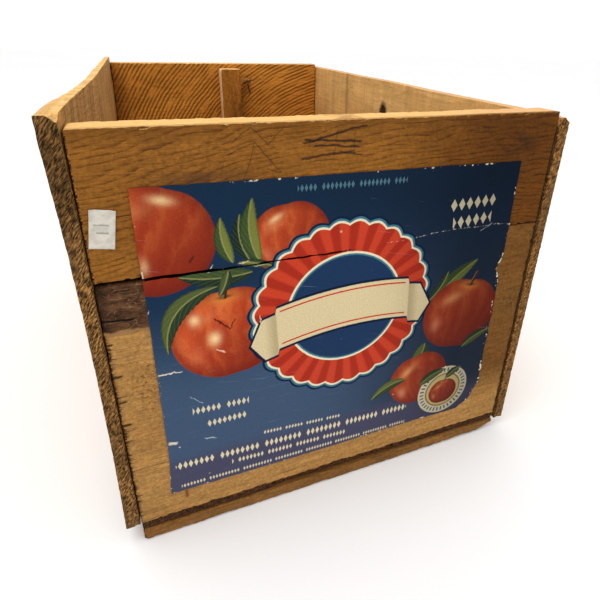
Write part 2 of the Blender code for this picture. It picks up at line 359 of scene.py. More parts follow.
def make_group(name, inputs, make):
    """A node group with number inputs; make(...) gives its mask and its colour."""
    tree = bpy.data.node_groups.new(name, "ShaderNodeTree")
    for item in inputs:
        tree.interface.new_socket(item, in_out="INPUT", socket_type="NodeSocketFloat")
    tree.interface.new_socket("mask", in_out="OUTPUT", socket_type="NodeSocketFloat")
    tree.interface.new_socket("colour", in_out="OUTPUT", socket_type="NodeSocketColor")
    source = tree.nodes.new("NodeGroupInput")
    mask, colour = make(*[Value(tree, source.outputs[item]) for item in inputs])
    sink = tree.nodes.new("NodeGroupOutput")
    feed(sink.inputs["mask"], mask)
    feed(sink.inputs["colour"], colour)
    return tree


def use_group(group, *values):
    """The mask and colour of a node group fed with these values."""
    tree = next(value.tree for value in values if isinstance(value, Value))
    node = tree.nodes.new("ShaderNodeGroup")
    node.node_tree = group
    for socket, value in zip(node.inputs, values):
        feed(socket, value)
    return Value(tree, node.outputs["mask"]), Value(tree, node.outputs["colour"])


def darker(colour, factor):
    return tuple(part * factor for part in colour)


class Material:
    """A new material with its coordinates in mm: x, y, and z up from the ground."""

    def __init__(self, name):
        self.material = bpy.data.materials.new(name)
        self.material.use_nodes = True
        self.tree = self.material.node_tree
        self.shader = self.tree.nodes["Principled BSDF"]
        place = self.tree.nodes.new("ShaderNodeTexCoord").outputs["Object"]
        split = self.tree.nodes.new("ShaderNodeSeparateXYZ")
        self.tree.links.new(place, split.inputs[0])
        self.x, self.y, self.z = (Value(self.tree, out) * 1000.0 for out in split.outputs)
        facing = self.tree.nodes.new("ShaderNodeSeparateXYZ")
        geometry = self.tree.nodes.new("ShaderNodeNewGeometry")
        self.tree.links.new(geometry.outputs["Normal"], facing.inputs[0])
        self.facing = [Value(self.tree, out) for out in facing.outputs]

    def attribute(self, name):
        node = self.tree.nodes.new("ShaderNodeAttribute")
        node.attribute_name = name
        return Value(self.tree, node.outputs["Fac"])

    def finish(self, colour, roughness, relief, specular, metallic=0.0):
        """relief is the height of the fine surface in mm, or None for a smooth one."""
        feed(self.shader.inputs["Base Color"], colour)
        feed(self.shader.inputs["Roughness"], roughness)
        feed(self.shader.inputs["Metallic"], metallic)
        self.shader.inputs["Specular IOR Level"].default_value = specular
        if relief is not None:
            bump = self.tree.nodes.new("ShaderNodeBump")
            bump.inputs["Strength"].default_value = 1.0
            bump.inputs["Distance"].default_value = MM
            feed(bump.inputs["Height"], relief)
            self.tree.links.new(bump.outputs["Normal"], self.shader.inputs["Normal"])
        return self.material


# ---------------------------------------------------------------- wood

TEAR_SIDEWAYS, TEAR_UP = 0.57, 0.82  # the slant of the torn fibres on sawn ends


def wood(
    name, grain, pale, dark, rings, pith, tilt, figure, grime, saw, saw_depth,
    bend=0.0, mottle=0.3, marks=None, cut_colour=None, joint_shade=False, fuzz=1.0,
):
    """Weathered sawn softwood.

    grain is the axis along the board: "x", "y" or "z". rings is the width of a growth ring, pith the
    place of the tree's centre across the grain, and tilt and bend how far the grain runs out and
    curves. saw(m, along, across) gives saw marks from 0 to 1, and marks(m, colour, relief) adds what is
    special to one board. cut_colour is the colour of the sawn ends, painted shade can darken the faces
    inside the joint between the two halves of an end, and fuzz is how much single fibres show.
    """
    m = Material(name)
    along, across, through = {
        "x": (m.x, m.z, m.y),
        "y": (m.y, m.z, m.x),
        "z": (m.z, m.x, m.y),
    }[grain]
    axis = {"x": 0, "y": 1, "z": 2}[grain]
    drift = noise(spot(along * 0.007, across * 0.018, through * 0.018), 3.0) - 0.5
    wobble = noise(spot(along * 0.035, across * 0.08, through * 0.08), 3.0) - 0.5
    side = across - pith[0] + along * tilt + along * along * (bend * 0.0001) + drift * 40.0
    deep = through - pith[1] + drift * 20.0
    ring = fraction((length_of(side, deep) + wobble * 6.0) / rings)
    late = rise(ring, 0.45, 0.92) * rise(ring, 1.0, 0.94)
    fibre = noise(spot(along * 0.05, across * 1.9, through * 1.9), 4.0, 0.7)
    streak = noise(spot(along * 0.010, across * 0.35, through * 0.35), 4.0, 0.65)
    dash = noise(spot(along * 0.09, across * 0.8, through * 0.8), 3.0, 0.6)
    cloud = noise(spot(along * 0.010, across * 0.022, through * 0.022), 4.0, 0.6)
    crumb = noise(spot(m.x * 0.5, m.y * 0.5, m.z * 0.5), 5.0, 0.7)

    colour = mix(rise(cloud + (streak - 0.5) * 0.5, 0.35, 0.7) * 0.45, pale, dark)
    line = late * rise(dash, 0.36, 0.60) * rise(streak, 0.25, 0.55)
    colour = mix(line * figure, colour, darker(dark, 0.5))
    colour = shade(colour, rise(streak, 0.25, 0.75, 0.82, 1.14))
    colour = shade(colour, rise(fibre, 0.28, 0.72, 1.0 - 0.24 * fuzz, 1.0 + 0.18 * fuzz))
    colour = shade(colour, rise(crumb, 0.3, 0.7, 1.0 - 0.6 * mottle, 1.0 + 0.5 * mottle))
    flecks = rise(dash, 0.62, 0.70) * rise(crumb, 0.45, 0.55)
    colour = mix(flecks * figure * 0.5, colour, darker(dark, 0.45))
    dirty = rise(noise(spot(along * 0.02, across * 0.03, through * 0.03), 5.0, 0.65), 0.5, 0.75)
    colour = mix(dirty * grime, colour, shade(colour, 0.42))
    relief = late * 0.08 + fibre * 0.16 + streak * 0.10 + crumb * 0.10
    cut = saw(m, along, across)
    colour = shade(colour, rise(cut, 0.15, 0.85, 1 - 0.36 * saw_depth, 1 + 0.15 * saw_depth))
    relief = relief + cut * 0.35 * saw_depth
    checks = rise(noise(spot(along * 0.012, across * 0.9, through * 0.9), 2.0), 0.69, 0.75)
    colour = mix(checks * 0.6, colour, shade(colour, 0.25))
    relief = relief - checks * 0.35

    end_face = rise(absolute(m.facing[axis]), 0.10, 0.30)
    end_colour, torn = torn_fibres(m, cut_colour or darker(pale, 0.6))
    end_colour = shade(end_colour, rise(cloud, 0.3, 0.7, 0.75, 1.2))
    colour = mix(end_face * 0.95, colour, end_colour)
    relief = relief + end_face * torn * 0.9

    # painted light: the upward faces of the top edges are painted pale cream, as light from above shows them
    top = rise(m.facing[2], 0.55, 0.88) * rise(m.z, CRATE_TOP - 45, CRATE_TOP - 35)
    cream = lit_top_colour(m, crumb, fibre, dash)
    relief = relief + top * crumb * 0.35
    colour = mix(top * rise(dirty, 0.9, 0.3, 0.5, 1.0), colour, cream)
    if joint_shade:
        # painted shade: the faces inside the joint between the two boards are painted near black, less so
        # towards the right
        inside = rise(absolute(m.facing[2]), 0.25, 0.5) * rise(m.z, 22, 26) * rise(m.z, 232, 228)
        colour = mix(inside * rise(m.x, 110.0, 50.0, 0.4, 1.0), colour, srgb(26, 17, 11))
    stain = m.attribute("stain")
    colour = mix(rise(stain + (fibre - 0.5) * 0.5, 0.15, 0.8) * 0.8, colour, srgb(50, 32, 24))
    if marks is not None:
        colour, relief = marks(m, colour, relief)
    roughness = rise(fibre, 0.3, 0.7, 0.66, 0.88)
    return m.finish(colour, roughness, relief, specular=0.08)


def torn_fibres(m, cut_colour):
    """The colour and height of the fibres torn by the saw, slanting across a board's sawn end, with painted
    shade in the furrows between them and painted highlights on their ridges.
    """
    sideways = m.x + m.y
    along = (sideways * TEAR_SIDEWAYS + m.z * TEAR_UP) * 0.26
    across = (m.z * TEAR_SIDEWAYS - sideways * TEAR_UP) * 1.45
    torn = noise(spot(along, 0.0, across), 2.0, 0.60)
    # painted shade in the furrows between the torn fibres and painted highlights on their ridges
    colour = mix(rise(torn, 0.43, 0.50), darker(cut_colour, 0.10), cut_colour)
    return mix(rise(torn, 0.53, 0.60), colour, darker(cut_colour, 2.2)), torn


def lit_top_colour(m, crumb, fibre, dash):
    """Painted light on the top edges: the pale cream given to their upward faces, as light from above shows
    them.
    """
    cream = mix(rise(crumb * 0.45 + fibre * 0.55, 0.36, 0.62), srgb(220, 164, 94), srgb(243, 198, 127))
    cream = mix(rise(m.x, 40.0, 120.0) * 0.8, cream, tinted(cream, (0.90, 0.86, 1.12)))
    return mix(rise(dash + (crumb - 0.5) * 0.5, 0.60, 0.78) * 0.6, cream, srgb(160, 106, 50))


def straight_saw(pitch, slope, worn=None):
    """Marks of a frame or band saw, across the grain and a little aslant.

    worn is the sign of the x side on which handling has rubbed most of the marks away.
    """

    def cut(m, along, across):
        place = spot((along + across * slope) / pitch, across * 0.02, 0.0)
        marks = noise(place, 2.0, 0.6)
        if worn is None:
            return marks
        return marks + (0.55 - marks) * (outer_face(m, worn) * 0.75)

    return cut


def outer_face(m, sign):
    """1 on the outer face of a side board, on the given side of the crate, and 0 inside."""
    return rise(m.x * sign, SIDE_MIDDLE - 1.0, SIDE_MIDDLE + 1.0)


def weathered_outside(m, colour, sign):
    """Long grain streaks, faded wood and handling dirt on the outer face of a side board."""
    outer = outer_face(m, sign)
    grain = noise(spot(m.y * 0.005, m.z * 0.20, 0.0), 5.0, 0.7)
    colour = shade(colour, 1.0 + outer * (rise(grain, 0.32, 0.68, 0.70, 1.12) - 1.0))
    lines = rise(noise(spot(m.y * 0.004, m.z * 0.55, 4.0), 2.0, 0.5), 0.60, 0.70)
    colour = mix(outer * lines * 0.45, colour, srgb(96, 64, 34))
    dirt = noise(spot(m.y * 0.012, m.z * 0.03, 9.0), 5.0, 0.65)
    return mix(outer * rise(dirt, 0.46, 0.72) * 0.5, colour, srgb(110, 82, 52))


def circular_saw(centre, pitch):
    """Arcs left by a circular saw, about a centre in the board's own plane."""

    def cut(m, along, across):
        reach = length_of(along - centre[0], across - centre[1])
        shift = noise(spot(along * 0.02, across * 0.02, 0.0), 3.0)
        place = reach / pitch + shift * 1.6
        phase = fraction(place)
        strength = noise(spot(place * 0.7, along * 0.03, across * 0.03), 2.0)
        inside = rise(m.y, 242.0, 238.0, 0.3, 1.0)
        groove = 1.0 - rise(absolute(phase - 0.5), 0.34, 0.10) * rise(strength, 0.28, 0.55) * inside
        fine = noise(spot(reach / 1.5, along * 0.012, across * 0.012), 3.0, 0.7)
        return groove * 0.62 + fine * 0.38

    return cut


def rust(name):
    """Old iron: brown rust with darker pits."""
    m = Material(name)
    patch = noise(spot(m.x * 0.6, m.y * 0.6, m.z * 0.6), 4.0, 0.6)
    grains = noise(spot(m.x * 3.5, m.y * 3.5, m.z * 3.5), 3.0, 0.7)
    colour = mix(rise(patch, 0.35, 0.65), srgb(58, 38, 28), srgb(112, 66, 38))
    colour = mix(rise(grains, 0.55, 0.75) * 0.6, colour, srgb(150, 96, 58))
    colour = mix(rise(grains, 0.42, 0.28) * 0.7, colour, srgb(32, 24, 20))
    metallic = rise(patch, 0.5, 0.3, 0.1, 0.6)
    return m.finish(colour, rise(grains, 0.3, 0.7, 0.55, 0.9), grains * 0.12, 0.35, metallic)


# ---------------------------------------------------------------- boards


def nodes_named(word):
    return [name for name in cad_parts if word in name]


def nail_heads():
    """Each nail's name, the middle of its head, the axis it is driven along, and the head's side."""
    found = []
    centre = (0.0, 0.0, CRATE_TOP / 2)
    for name in nodes_named("nail"):
        low, high = box_mm(name)
        axis = int(np.argmax(high - low))
        head = (low + high) / 2
        outward = abs(high[axis] - centre[axis]) > abs(low[axis] - centre[axis])
        head[axis] = high[axis] if outward else low[axis]
        found.append((name, head, axis, 1 if outward else -1))
    return found


def nails_of(low, high):
    """The nails whose heads lie in the face of this board."""
    return [
        nail for nail in nail_heads() if np.all(nail[1] > low - 0.1) and np.all(nail[1] < high + 0.1)
        and min(abs(nail[1][nail[2]] - low[nail[2]]), abs(nail[1][nail[2]] - high[nail[2]])) < 1
    ]


def nail_lines(nails):
    """Finer grid lines round each nail's head, for each axis."""
    lines = ([], [], [])
    for _name, head, driven, _side in nails:
        for axis in range(3):
            if axis != driven:
                lines[axis].extend(head[axis] + np.arange(-6.5, 6.6, 1.3))
    return lines


def splinter(points, made, low, high, depths, seed):
    """Splinters along the arrises, as deep as depths says for arrises running along x, y and z."""
    inside = np.minimum(points - low, high - points)
    from_faces = np.sort(inside, axis=1)
    runs = np.argmax(inside, axis=1)
    arris = ramp(from_faces[:, 1], 2.4, 0.4) * (from_faces[:, 0] < 0.01) * np.broadcast_to(depths, 3)[runs]
    missing = np.clip(wander(points, 2.6, seed, 3) + 0.1, 0, 1)
    return made - np.sign(points - (low + high) / 2) * (arris * missing)[:, None]


def roughen(points, made, low, high, seed):
    """Shallow hollows all over the faces."""
    inward = -np.sign(made - (low + high) / 2)
    flat = np.isclose(points, low) | np.isclose(points, high)
    depth = 0.12 * (0.5 + 0.5 * wander(points, 9, seed))
    return made + inward * flat * depth[:, None]


def dent(points, made, nails):
    """Dents the board round its nails; also gives the rust stain round them, from 0 to 1."""
    stain = np.zeros(len(points))
    for _name, head, driven, side in nails:
        near = np.abs(points[:, driven] - head[driven]) < 1.5
        reach = np.linalg.norm(np.delete(points - head, driven, axis=1), axis=1)
        made[:, driven] -= side * near * 0.55 * ramp(reach, 5.6, 3.0)
        stain = np.maximum(stain, near * np.exp(-((reach / 5.2) ** 2)))
    return stain


def board(
    node, material, seed, step=2.6, radius=0.9, chips=0.5, splinters=0.8, extra=((), (), ()),
    sculpt=None,
):
    """A worn board in place of a CAD board, in the CAD board's own box.

    step is the spacing of its grid, extra has more grid lines for each axis, and sculpt(points, made)
    gives the board its own shape.
    """
    low, high = box_mm(node)
    steps = np.broadcast_to(step, 3)
    nails = nails_of(low, high)
    finer = nail_lines(nails)
    lines = [graded(low[axis], high[axis], steps[axis], [*extra[axis], *finer[axis]]) for axis in range(3)]
    points, faces = shell(*lines)
    bites = ramp(wander(points, 16, seed + 5), 0.36, 0.62)
    radii = radius * (1 + 0.45 * wander(points, 14, seed)) + chips * 3.0 * bites
    made = round_edges(points, low, high, radii)
    made = splinter(points, made, low, high, splinters, seed + 8)
    made = roughen(points, made, low, high, seed + 11)
    stain = dent(points, made, nails)
    if sculpt is not None:
        made = sculpt(points, made)
    piece = new_piece(f"{node}_worn", made, faces, material, [node])
    add_layer(piece, "stain", stain)
    return piece


def cut_hole(piece, centre, radii, seed):
    """An uneven oval hole through a side board."""
    count = 44
    reach = (12, 0, 0)  # well past both faces of the board
    turns = np.linspace(0, math.tau, count, endpoint=False)
    ring = np.stack([turns * 0, np.cos(turns) * radii[0], np.sin(turns) * radii[1]], axis=1)
    ring *= 1 + 0.07 * wander(ring, 5, seed, 2)[:, None]
    points = np.concatenate([ring + centre - reach, ring + centre + reach])
    number = np.arange(count)
    after = np.roll(number, -1)
    sides = np.stack([number, after, after + count, number + count], axis=1).tolist()
    mesh = bpy.data.meshes.new("knothole")
    lids = [number[::-1].tolist(), (number + count).tolist()]
    mesh.from_pydata((points * MM).tolist(), [], sides + lids)
    cutter = bpy.data.objects.new("knothole", mesh)
    bpy.context.scene.collection.objects.link(cutter)
    hole = piece.modifiers.new("hole", "BOOLEAN")
    hole.object = cutter
    hole.operation = "DIFFERENCE"
    seen = piece.evaluated_get(bpy.context.evaluated_depsgraph_get())
    piece.data = bpy.data.meshes.new_from_object(seen)
    piece.modifiers.clear()
    bpy.data.objects.remove(cutter)


def add_floor():
    """A wide pale floor."""
    half = 9.0
    mesh = bpy.data.meshes.new("floor")
    corners = [(-half, -half, 0), (half, -half, 0), (half, half, 0), (-half, half, 0)]
    mesh.from_pydata(corners, [], [(0, 1, 2, 3)])
    m = Material("pale_floor")
    tone = noise(spot(m.x * 0.001, m.y * 0.001, 0.0), 2.0)
    mesh.materials.append(m.finish(mix(tone, (0.93, 0.93, 0.93), (0.96, 0.96, 0.96)), 0.9, None, 0.1))
    floor = bpy.data.objects.new("floor", mesh)
    floor.location.z = -0.0002  # just clear of the cleats
    bpy.context.scene.collection.objects.link(floor)


def add_light():
    """White surroundings and one large soft lamp overhead."""
    world = bpy.data.worlds.new("studio")
    world.use_nodes = True
    background = world.node_tree.nodes["Background"]
    background.inputs["Color"].default_value = (1, 1, 1, 1)
    background.inputs["Strength"].default_value = 1.05
    bpy.context.scene.world = world
    lamp = bpy.data.lights.new("overhead", "AREA")
    lamp.shape = "DISK"
    lamp.size = 1.1
    lamp.energy = 9
    holder = bpy.data.objects.new("overhead", lamp)
    holder.location = (-0.5, -0.35, 1.7)
    aim = Vector((0.0, 0.05, 0.1)) - holder.location
    holder.rotation_euler = aim.to_track_quat("-Z", "Y").to_euler()
    bpy.context.scene.collection.objects.link(holder)
    bpy.context.scene.view_settings.view_transform = "Standard"


def add_camera():
    """A wide lens close to the crate, looking down and a little to the right."""
    place = (-0.1131, -0.48145, 0.3198)
    yaw, pitch, roll = (math.radians(angle) for angle in (22.54, 23.75, 1.86))
    forward = Vector((
        math.sin(yaw) * math.cos(pitch),
        math.cos(yaw) * math.cos(pitch),
        -math.sin(pitch),
    ))
    level = Vector((math.cos(yaw), -math.sin(yaw), 0))
    upright = level.cross(forward)
    right = level * math.cos(roll) + upright * math.sin(roll)
    up = upright * math.cos(roll) - level * math.sin(roll)
    data = bpy.data.cameras.new("camera")
    data.sensor_width = 36
    data.lens = 27.71
    data.shift_x = -0.052
    data.shift_y = -0.1023
    data.clip_start = 0.01
    camera = bpy.data.objects.new("camera", data)
    turn = Matrix((right, up, -forward)).transposed().to_4x4()
    camera.matrix_world = Matrix.Translation(place) @ turn
    bpy.context.scene.collection.objects.link(camera)
    bpy.context.scene.camera = camera


# ---------------------------------------------------------------- the boards' own shapes

LEFT_LEAN = 4.6  # how far the top of the left board leans in, behind the front end


def side_lean(points):
    """How far the left side, and the rear end with it, leans in towards the top of the rear corner."""
    y, z = points[:, 1], points[:, 2]
    return LEFT_LEAN * ramp(y, -235, -30) * ramp(z - END_LEVEL, 110, 235)


def fastener_grooves(points, made):
    """The corrugated fasteners are driven a little under the wood."""
    for name in nodes_named("fastener"):
        low, high = box_mm(name)
        side = 1 if low[1] > 0 else -1
        near = np.abs(points[:, 1] - side * abs(FRONT_FACE)) < 0.6
        across = ramp(np.abs(points[:, 0] - (low[0] + high[0]) / 2), 2.1, 1.4)
        up = ramp(points[:, 2], low[2] - 1.5, low[2]) * ramp(points[:, 2], high[2] + 1.5, high[2])
        made[:, 1] -= side * near * across * up * 0.9
    return made


def sculpt_rear(points, made):
    """Saw arcs stand out on the inner face of the rear end, whose left edge follows the left board."""
    made = fastener_grooves(points, made.copy())
    reach = np.hypot(points[:, 0] - SAW_CENTRE[0], points[:, 2] - SAW_CENTRE[1])
    inner = points[:, 1] < 229
    made[:, 1] += inner * 0.16 * np.sin(reach / 9.0 * math.tau + 3 * wander(points, 50, 81, 2))
    made[:, 0] += side_lean(points) * ramp(points[:, 0], -90, -146)
    return made


def sculpt_front_upper(points, made):
    """Both long edges of the upper front board are a little uneven."""
    z = made[:, 2]
    low = JOINT_LEVEL + JOINT_HALF_GAP
    near_joint = ramp(z, low + 18, low)
    made = fastener_grooves(points, made.copy())
    uneven = 0.35 * wander(points * (1, 0, 0), 60, 31, 2)
    made[:, 2] += near_joint * uneven
    near_top = ramp(z, CRATE_TOP - 30, CRATE_TOP - 8)
    made[:, 2] += near_top * (0.5 * wander(points * (1, 0.3, 0), 45, 37, 3) - 0.2)
    return made


def sculpt_front_lower(points, made):
    """The joint gapes at the left and closes towards the right, and a flake is missing at the left."""
    x, _y, z = made.T
    top = JOINT_LEVEL - JOINT_HALF_GAP
    near_joint = ramp(z, top - 25, top)
    gape = 1.0 * ramp(x, 10, -70) + 0.25 * ramp(x, 90, 40) + 0.3 * wander(points * (1, 0.2, 0), 18, 41, 3)
    made = fastener_grooves(points, made.copy())
    made[:, 2] -= near_joint * np.maximum(gape, 0) - 0.45 * near_joint * ramp(x, 60, 110)
    patch = rough_patch(points)
    made[:, 1] += patch * (0.5 + 0.6 * (0.5 + 0.5 * wander(points, (9, 3, 3), 43, 3)))
    return made


def rough_patch(points):
    """Where a flake of wood has split off the lower front board, left of the label."""
    x, y, z = points.T
    height = z - END_LEVEL
    ragged = wander(points * (1, 0, 1), 6, 47, 3) * 2.5
    inside = ramp(x, -121.5, -123.5) * ramp(height + ragged, 149.5, 151.5)
    return inside * (y < FRONT_FACE + 0.5)


def torn_end(points, made, seed):
    """Roughly sawn end grain: slanting torn ridges on a side board's front end."""
    x, y, z = points.T
    slant = np.stack([x * 0.25, z * 0, z - x * 0.83], axis=1)
    ridges = wander(slant, 1.7, seed, 3)
    on_end = ramp(y, -244.5, -247.2)
    made = made.copy()
    middle = (points[:, 0].min() + points[:, 0].max()) / 2
    outside = np.sign(x - middle) * np.sign(middle)
    corner = ramp(outside * np.abs(x - middle), 2.6, 4.6)
    made[:, 1] += on_end * 1.2 * np.clip(0.30 + ridges, 0, 1.2) * (1 - 0.75 * corner)
    fray = wander(np.stack([x * 0.2, y * 0.08, z], axis=1), 2.4, seed + 3, 3)
    frayed = np.where(outside > 0, 0.10, 0.55) * (fray + 0.4)
    made[:, 0] -= np.sign(x - middle) * ramp(np.abs(x - middle), 3.5, 4.7) * on_end * frayed
    return made


def sculpt_left_side(points, made):
    """The left board is cupped and leans in at the rear; its top is worn to a slant outside."""
    x, y, z = points.T
    height = z - END_LEVEL
    at_front = ramp(y, -150, -247)
    outer = ramp(x, -150, -155.5)
    hollow = 2.1 * np.clip(1 - ((height - 125) / 130) ** 2, 0, 1)
    lean = -0.6 * ramp(height, 190, 262) - 0.15
    made = torn_end(points, made, 71)
    made[:, 0] += outer * (hollow + 0.25) * (0.35 + 0.65 * at_front)
    made[:, 0] += lean * (0.3 + 0.7 * at_front) + side_lean(points)
    inner_corner = ramp(x, -151.5, -147) * ramp(height, 257, 267) * ramp(y, -236, -246)
    chipped = 3.0 + 1.4 * wander(points, 2.2, 73, 3)
    made[:, 2] -= inner_corner * np.maximum(chipped, 0)
    bevel = ramp(height, 262.5, 267.4) * ramp(y, -225, -110) * ramp(x, -151.0, -155.8)
    made[:, 2] -= bevel * (2.6 + 0.7 * wander(points * (1, 1, 0), 26, 74, 2))
    made[:, 2] -= 2.2 * ramp(height, 6, 0) * ramp(y, -238, -222)
    made[:, 0] += bevel * 0.8
    return made


def sculpt_right_side(points, made):
    """The right board's outer top corner is chipped at the front."""
    x, y, z = points.T
    height = z - END_LEVEL
    made = torn_end(points, made, 75)
    made[:, 0] += ramp(x, 149, 146.5) * ramp(y, -225, -245) * (0.45 + 0.4 * wander(points, 9, 55, 2))
    made[:, 2] += 0.5 * wander(points * (0, 1, 0), 90, 53, 2)
    corner = ramp(x, 151, 156) * ramp(height, 248, 257) * ramp(y, -236, -247)
    made[:, 2] -= corner * (3.0 + 1.5 * wander(points, 4, 77))
    return made


def sculpt_cleat(points, made):
    """One end of the front cleat is rounded and the other worn to a slant."""
    x, z = points[:, 0], points[:, 2]
    made = made.copy()
    slant = 1.1 * ramp(x, 50, 128) + 5.0 * ramp(x, 128, 146)
    made[:, 2] += slant * ramp(z, 9.5, 0)
    return made


def stroke(x, height, start, end, width, wave):
    """A soft line between two points given as x and height above the end's lower edge."""
    span = math.dist(start, end)
    turn_x, turn_z = (end[0] - start[0]) / span, (end[1] - start[1]) / span
    along = fused(x, turn_x, fused(height, turn_z, -start[0] * turn_x - start[1] * turn_z))
    across = fused(height, turn_x, fused(x, -turn_z, start[0] * turn_z - start[1] * turn_x))
    line = rise(absolute(across + wave), width, width * 0.35)
    return line * rise(along, -1.0, 1.0) * rise(along, span + 1, span - 1)


def slit_shade(m):
    """Painted shade in the open joint, where the label is torn along it."""
    joint = absolute(m.z - JOINT_LEVEL)
    return rise(joint, 2.6, 1.8) * rise(m.x, -119.0, -117.0) * rise(m.x, 20.0, 10.0)


# Strokes on the front: start and end, as x and height above the lower edge of the ends, then the
# half width and, for the pencil, how dark it is.
PENCIL_STROKES = (
    ((-34, 249), (4, 257.5), 0.9, 0.8),
    ((-33, 251), (1, 248.5), 1.0, 0.85),
    ((-28, 247.5), (0, 246), 0.9, 0.8),
    ((-35, 240.5), (-4, 243.5), 0.9, 0.75),
    ((-12, 243.5), (2, 240.5), 0.8, 0.7),
    ((-14, 256), (-16, 240), 0.5, 0.35),
    ((-4, 256), (-3, 241), 0.5, 0.4),
    ((-72, 251), (-62, 259), 0.45, 0.5),
    ((-62, 259), (-53, 249), 0.45, 0.45),
    ((-53, 249), (-44, 258), 0.45, 0.5),
    ((-75, 245), (-60, 251), 0.45, 0.5),
    ((-60, 251), (-67, 230), 0.45, 0.4),
    ((-60, 251), (-46, 234), 0.45, 0.5),
    ((-46, 234), (-54, 236), 0.45, 0.5),
    ((-76, 244), (-78, 235), 0.4, 0.3),
)
LOWER_CRACKS = ((144.0, 3.5), (122.0, 5.5), (103.5, 5.0), (86.0, 5.5))  # height and length of each


def front_upper_marks(m, colour, relief):
    """Pencil strokes and smudges on the upper front board, with painted shade in the open joint and darkening
    the board to the right and along its top.
    """
    height = m.z - END_LEVEL
    front = rise(m.y, FRONT_FACE + 4, FRONT_FACE + 2)
    blot = noise(spot(m.x * 0.07, 0.0, m.z * 0.10), 5.0, 0.65)
    speck = noise(spot(m.x * 0.5, 0.0, m.z * 0.5), 3.0, 0.7)
    # painted shade: the open joint where the label is torn is darkened on the front face
    colour = mix(front * slit_shade(m), colour, srgb(20, 13, 9))
    # painted shade: the board darker towards the right
    shaded_right = rise(m.x + (blot - 0.5) * 60.0, -10.0, 110.0)
    colour = mix(front * shaded_right, colour, tinted(colour, (0.46, 0.38, 0.22)))
    # painted shade: the board darker along its top
    shaded_top = rise(height + (blot - 0.5) * 20.0, 248.0, 262.0)
    colour = mix(front * shaded_top * 0.35, colour, srgb(84, 50, 18))
    for middle, level, wide, tall, broken, strength, tone in (
        (-105.0, 246.0, 34.0, 9.0, rise(speck, 0.42, 0.62), 0.35, srgb(70, 44, 24)),
        (117.0, 240.0, 14.0, 8.0, rise(blot, 0.35, 0.6), 0.75, srgb(44, 28, 16)),
        (75.0, 250.0, 40.0, 7.0, rise(speck, 0.45, 0.65), 0.4, srgb(60, 38, 20)),
        (-88.0, 234.0, 22.0, 4.0, rise(blot, 0.3, 0.5), 0.75, srgb(74, 46, 30)),
    ):
        smudge = bell(m.x - middle, wide) * bell(height - level, tall) * broken
        colour = mix(front * smudge * strength, colour, tone)
    sway = (noise(spot(m.x * 0.12, 0.0, m.z * 0.12), 2.0) - 0.5) * 3.0
    for start, end, width, strength in PENCIL_STROKES:
        line = stroke(m.x, height, start, end, width, sway) * rise(speck, 0.2, 0.45, 0.5, 1.0)
        colour = mix(front * line * strength, colour, srgb(30, 22, 22))
    return colour, relief


def split_patch(m, height, ragged):
    """Where the patch beside the label is, the grain of its wood from 0 to 1, and its colour."""
    patch = rise(m.x, -121.0, -122.5) * rise(height + ragged, 149.5, 150.5)
    patch = patch * rise(m.y, FRONT_FACE + 5, FRONT_FACE + 3)
    skin = noise(spot(m.x * 0.12, 0.0, m.z * 0.22), 4.0, 0.65)
    lines = noise(spot(m.x * 0.06 + m.z * 0.03, 0.0, m.z * 0.16), 2.0, 0.6)
    torn = mix(rise(skin, 0.35, 0.65), srgb(52, 32, 20), srgb(98, 66, 42))
    torn = mix(rise(absolute(lines - 0.46), 0.008, 0.003) * 0.6, torn, srgb(140, 106, 76))
    torn = mix(rise(absolute(lines - 0.56), 0.006, 0.002) * 0.5, torn, srgb(150, 118, 86))
    torn = mix(rise(m.x, -138.0, -147.0) * 0.7, torn, srgb(34, 22, 14))
    crack = absolute(height - 158.6 + (m.x + 137.0) * 0.1 + ragged * 0.3)
    crack = rise(crack, 0.8, 0.4) * rise(m.x, -129.0, -131.0)
    torn = mix(crack, torn, srgb(16, 10, 8))
    rim = rise(height + ragged, 149.0, 150.0) * rise(height + ragged, 152.5, 151.0)
    return patch, skin, mix(rim * 0.6, torn, srgb(176, 132, 82))


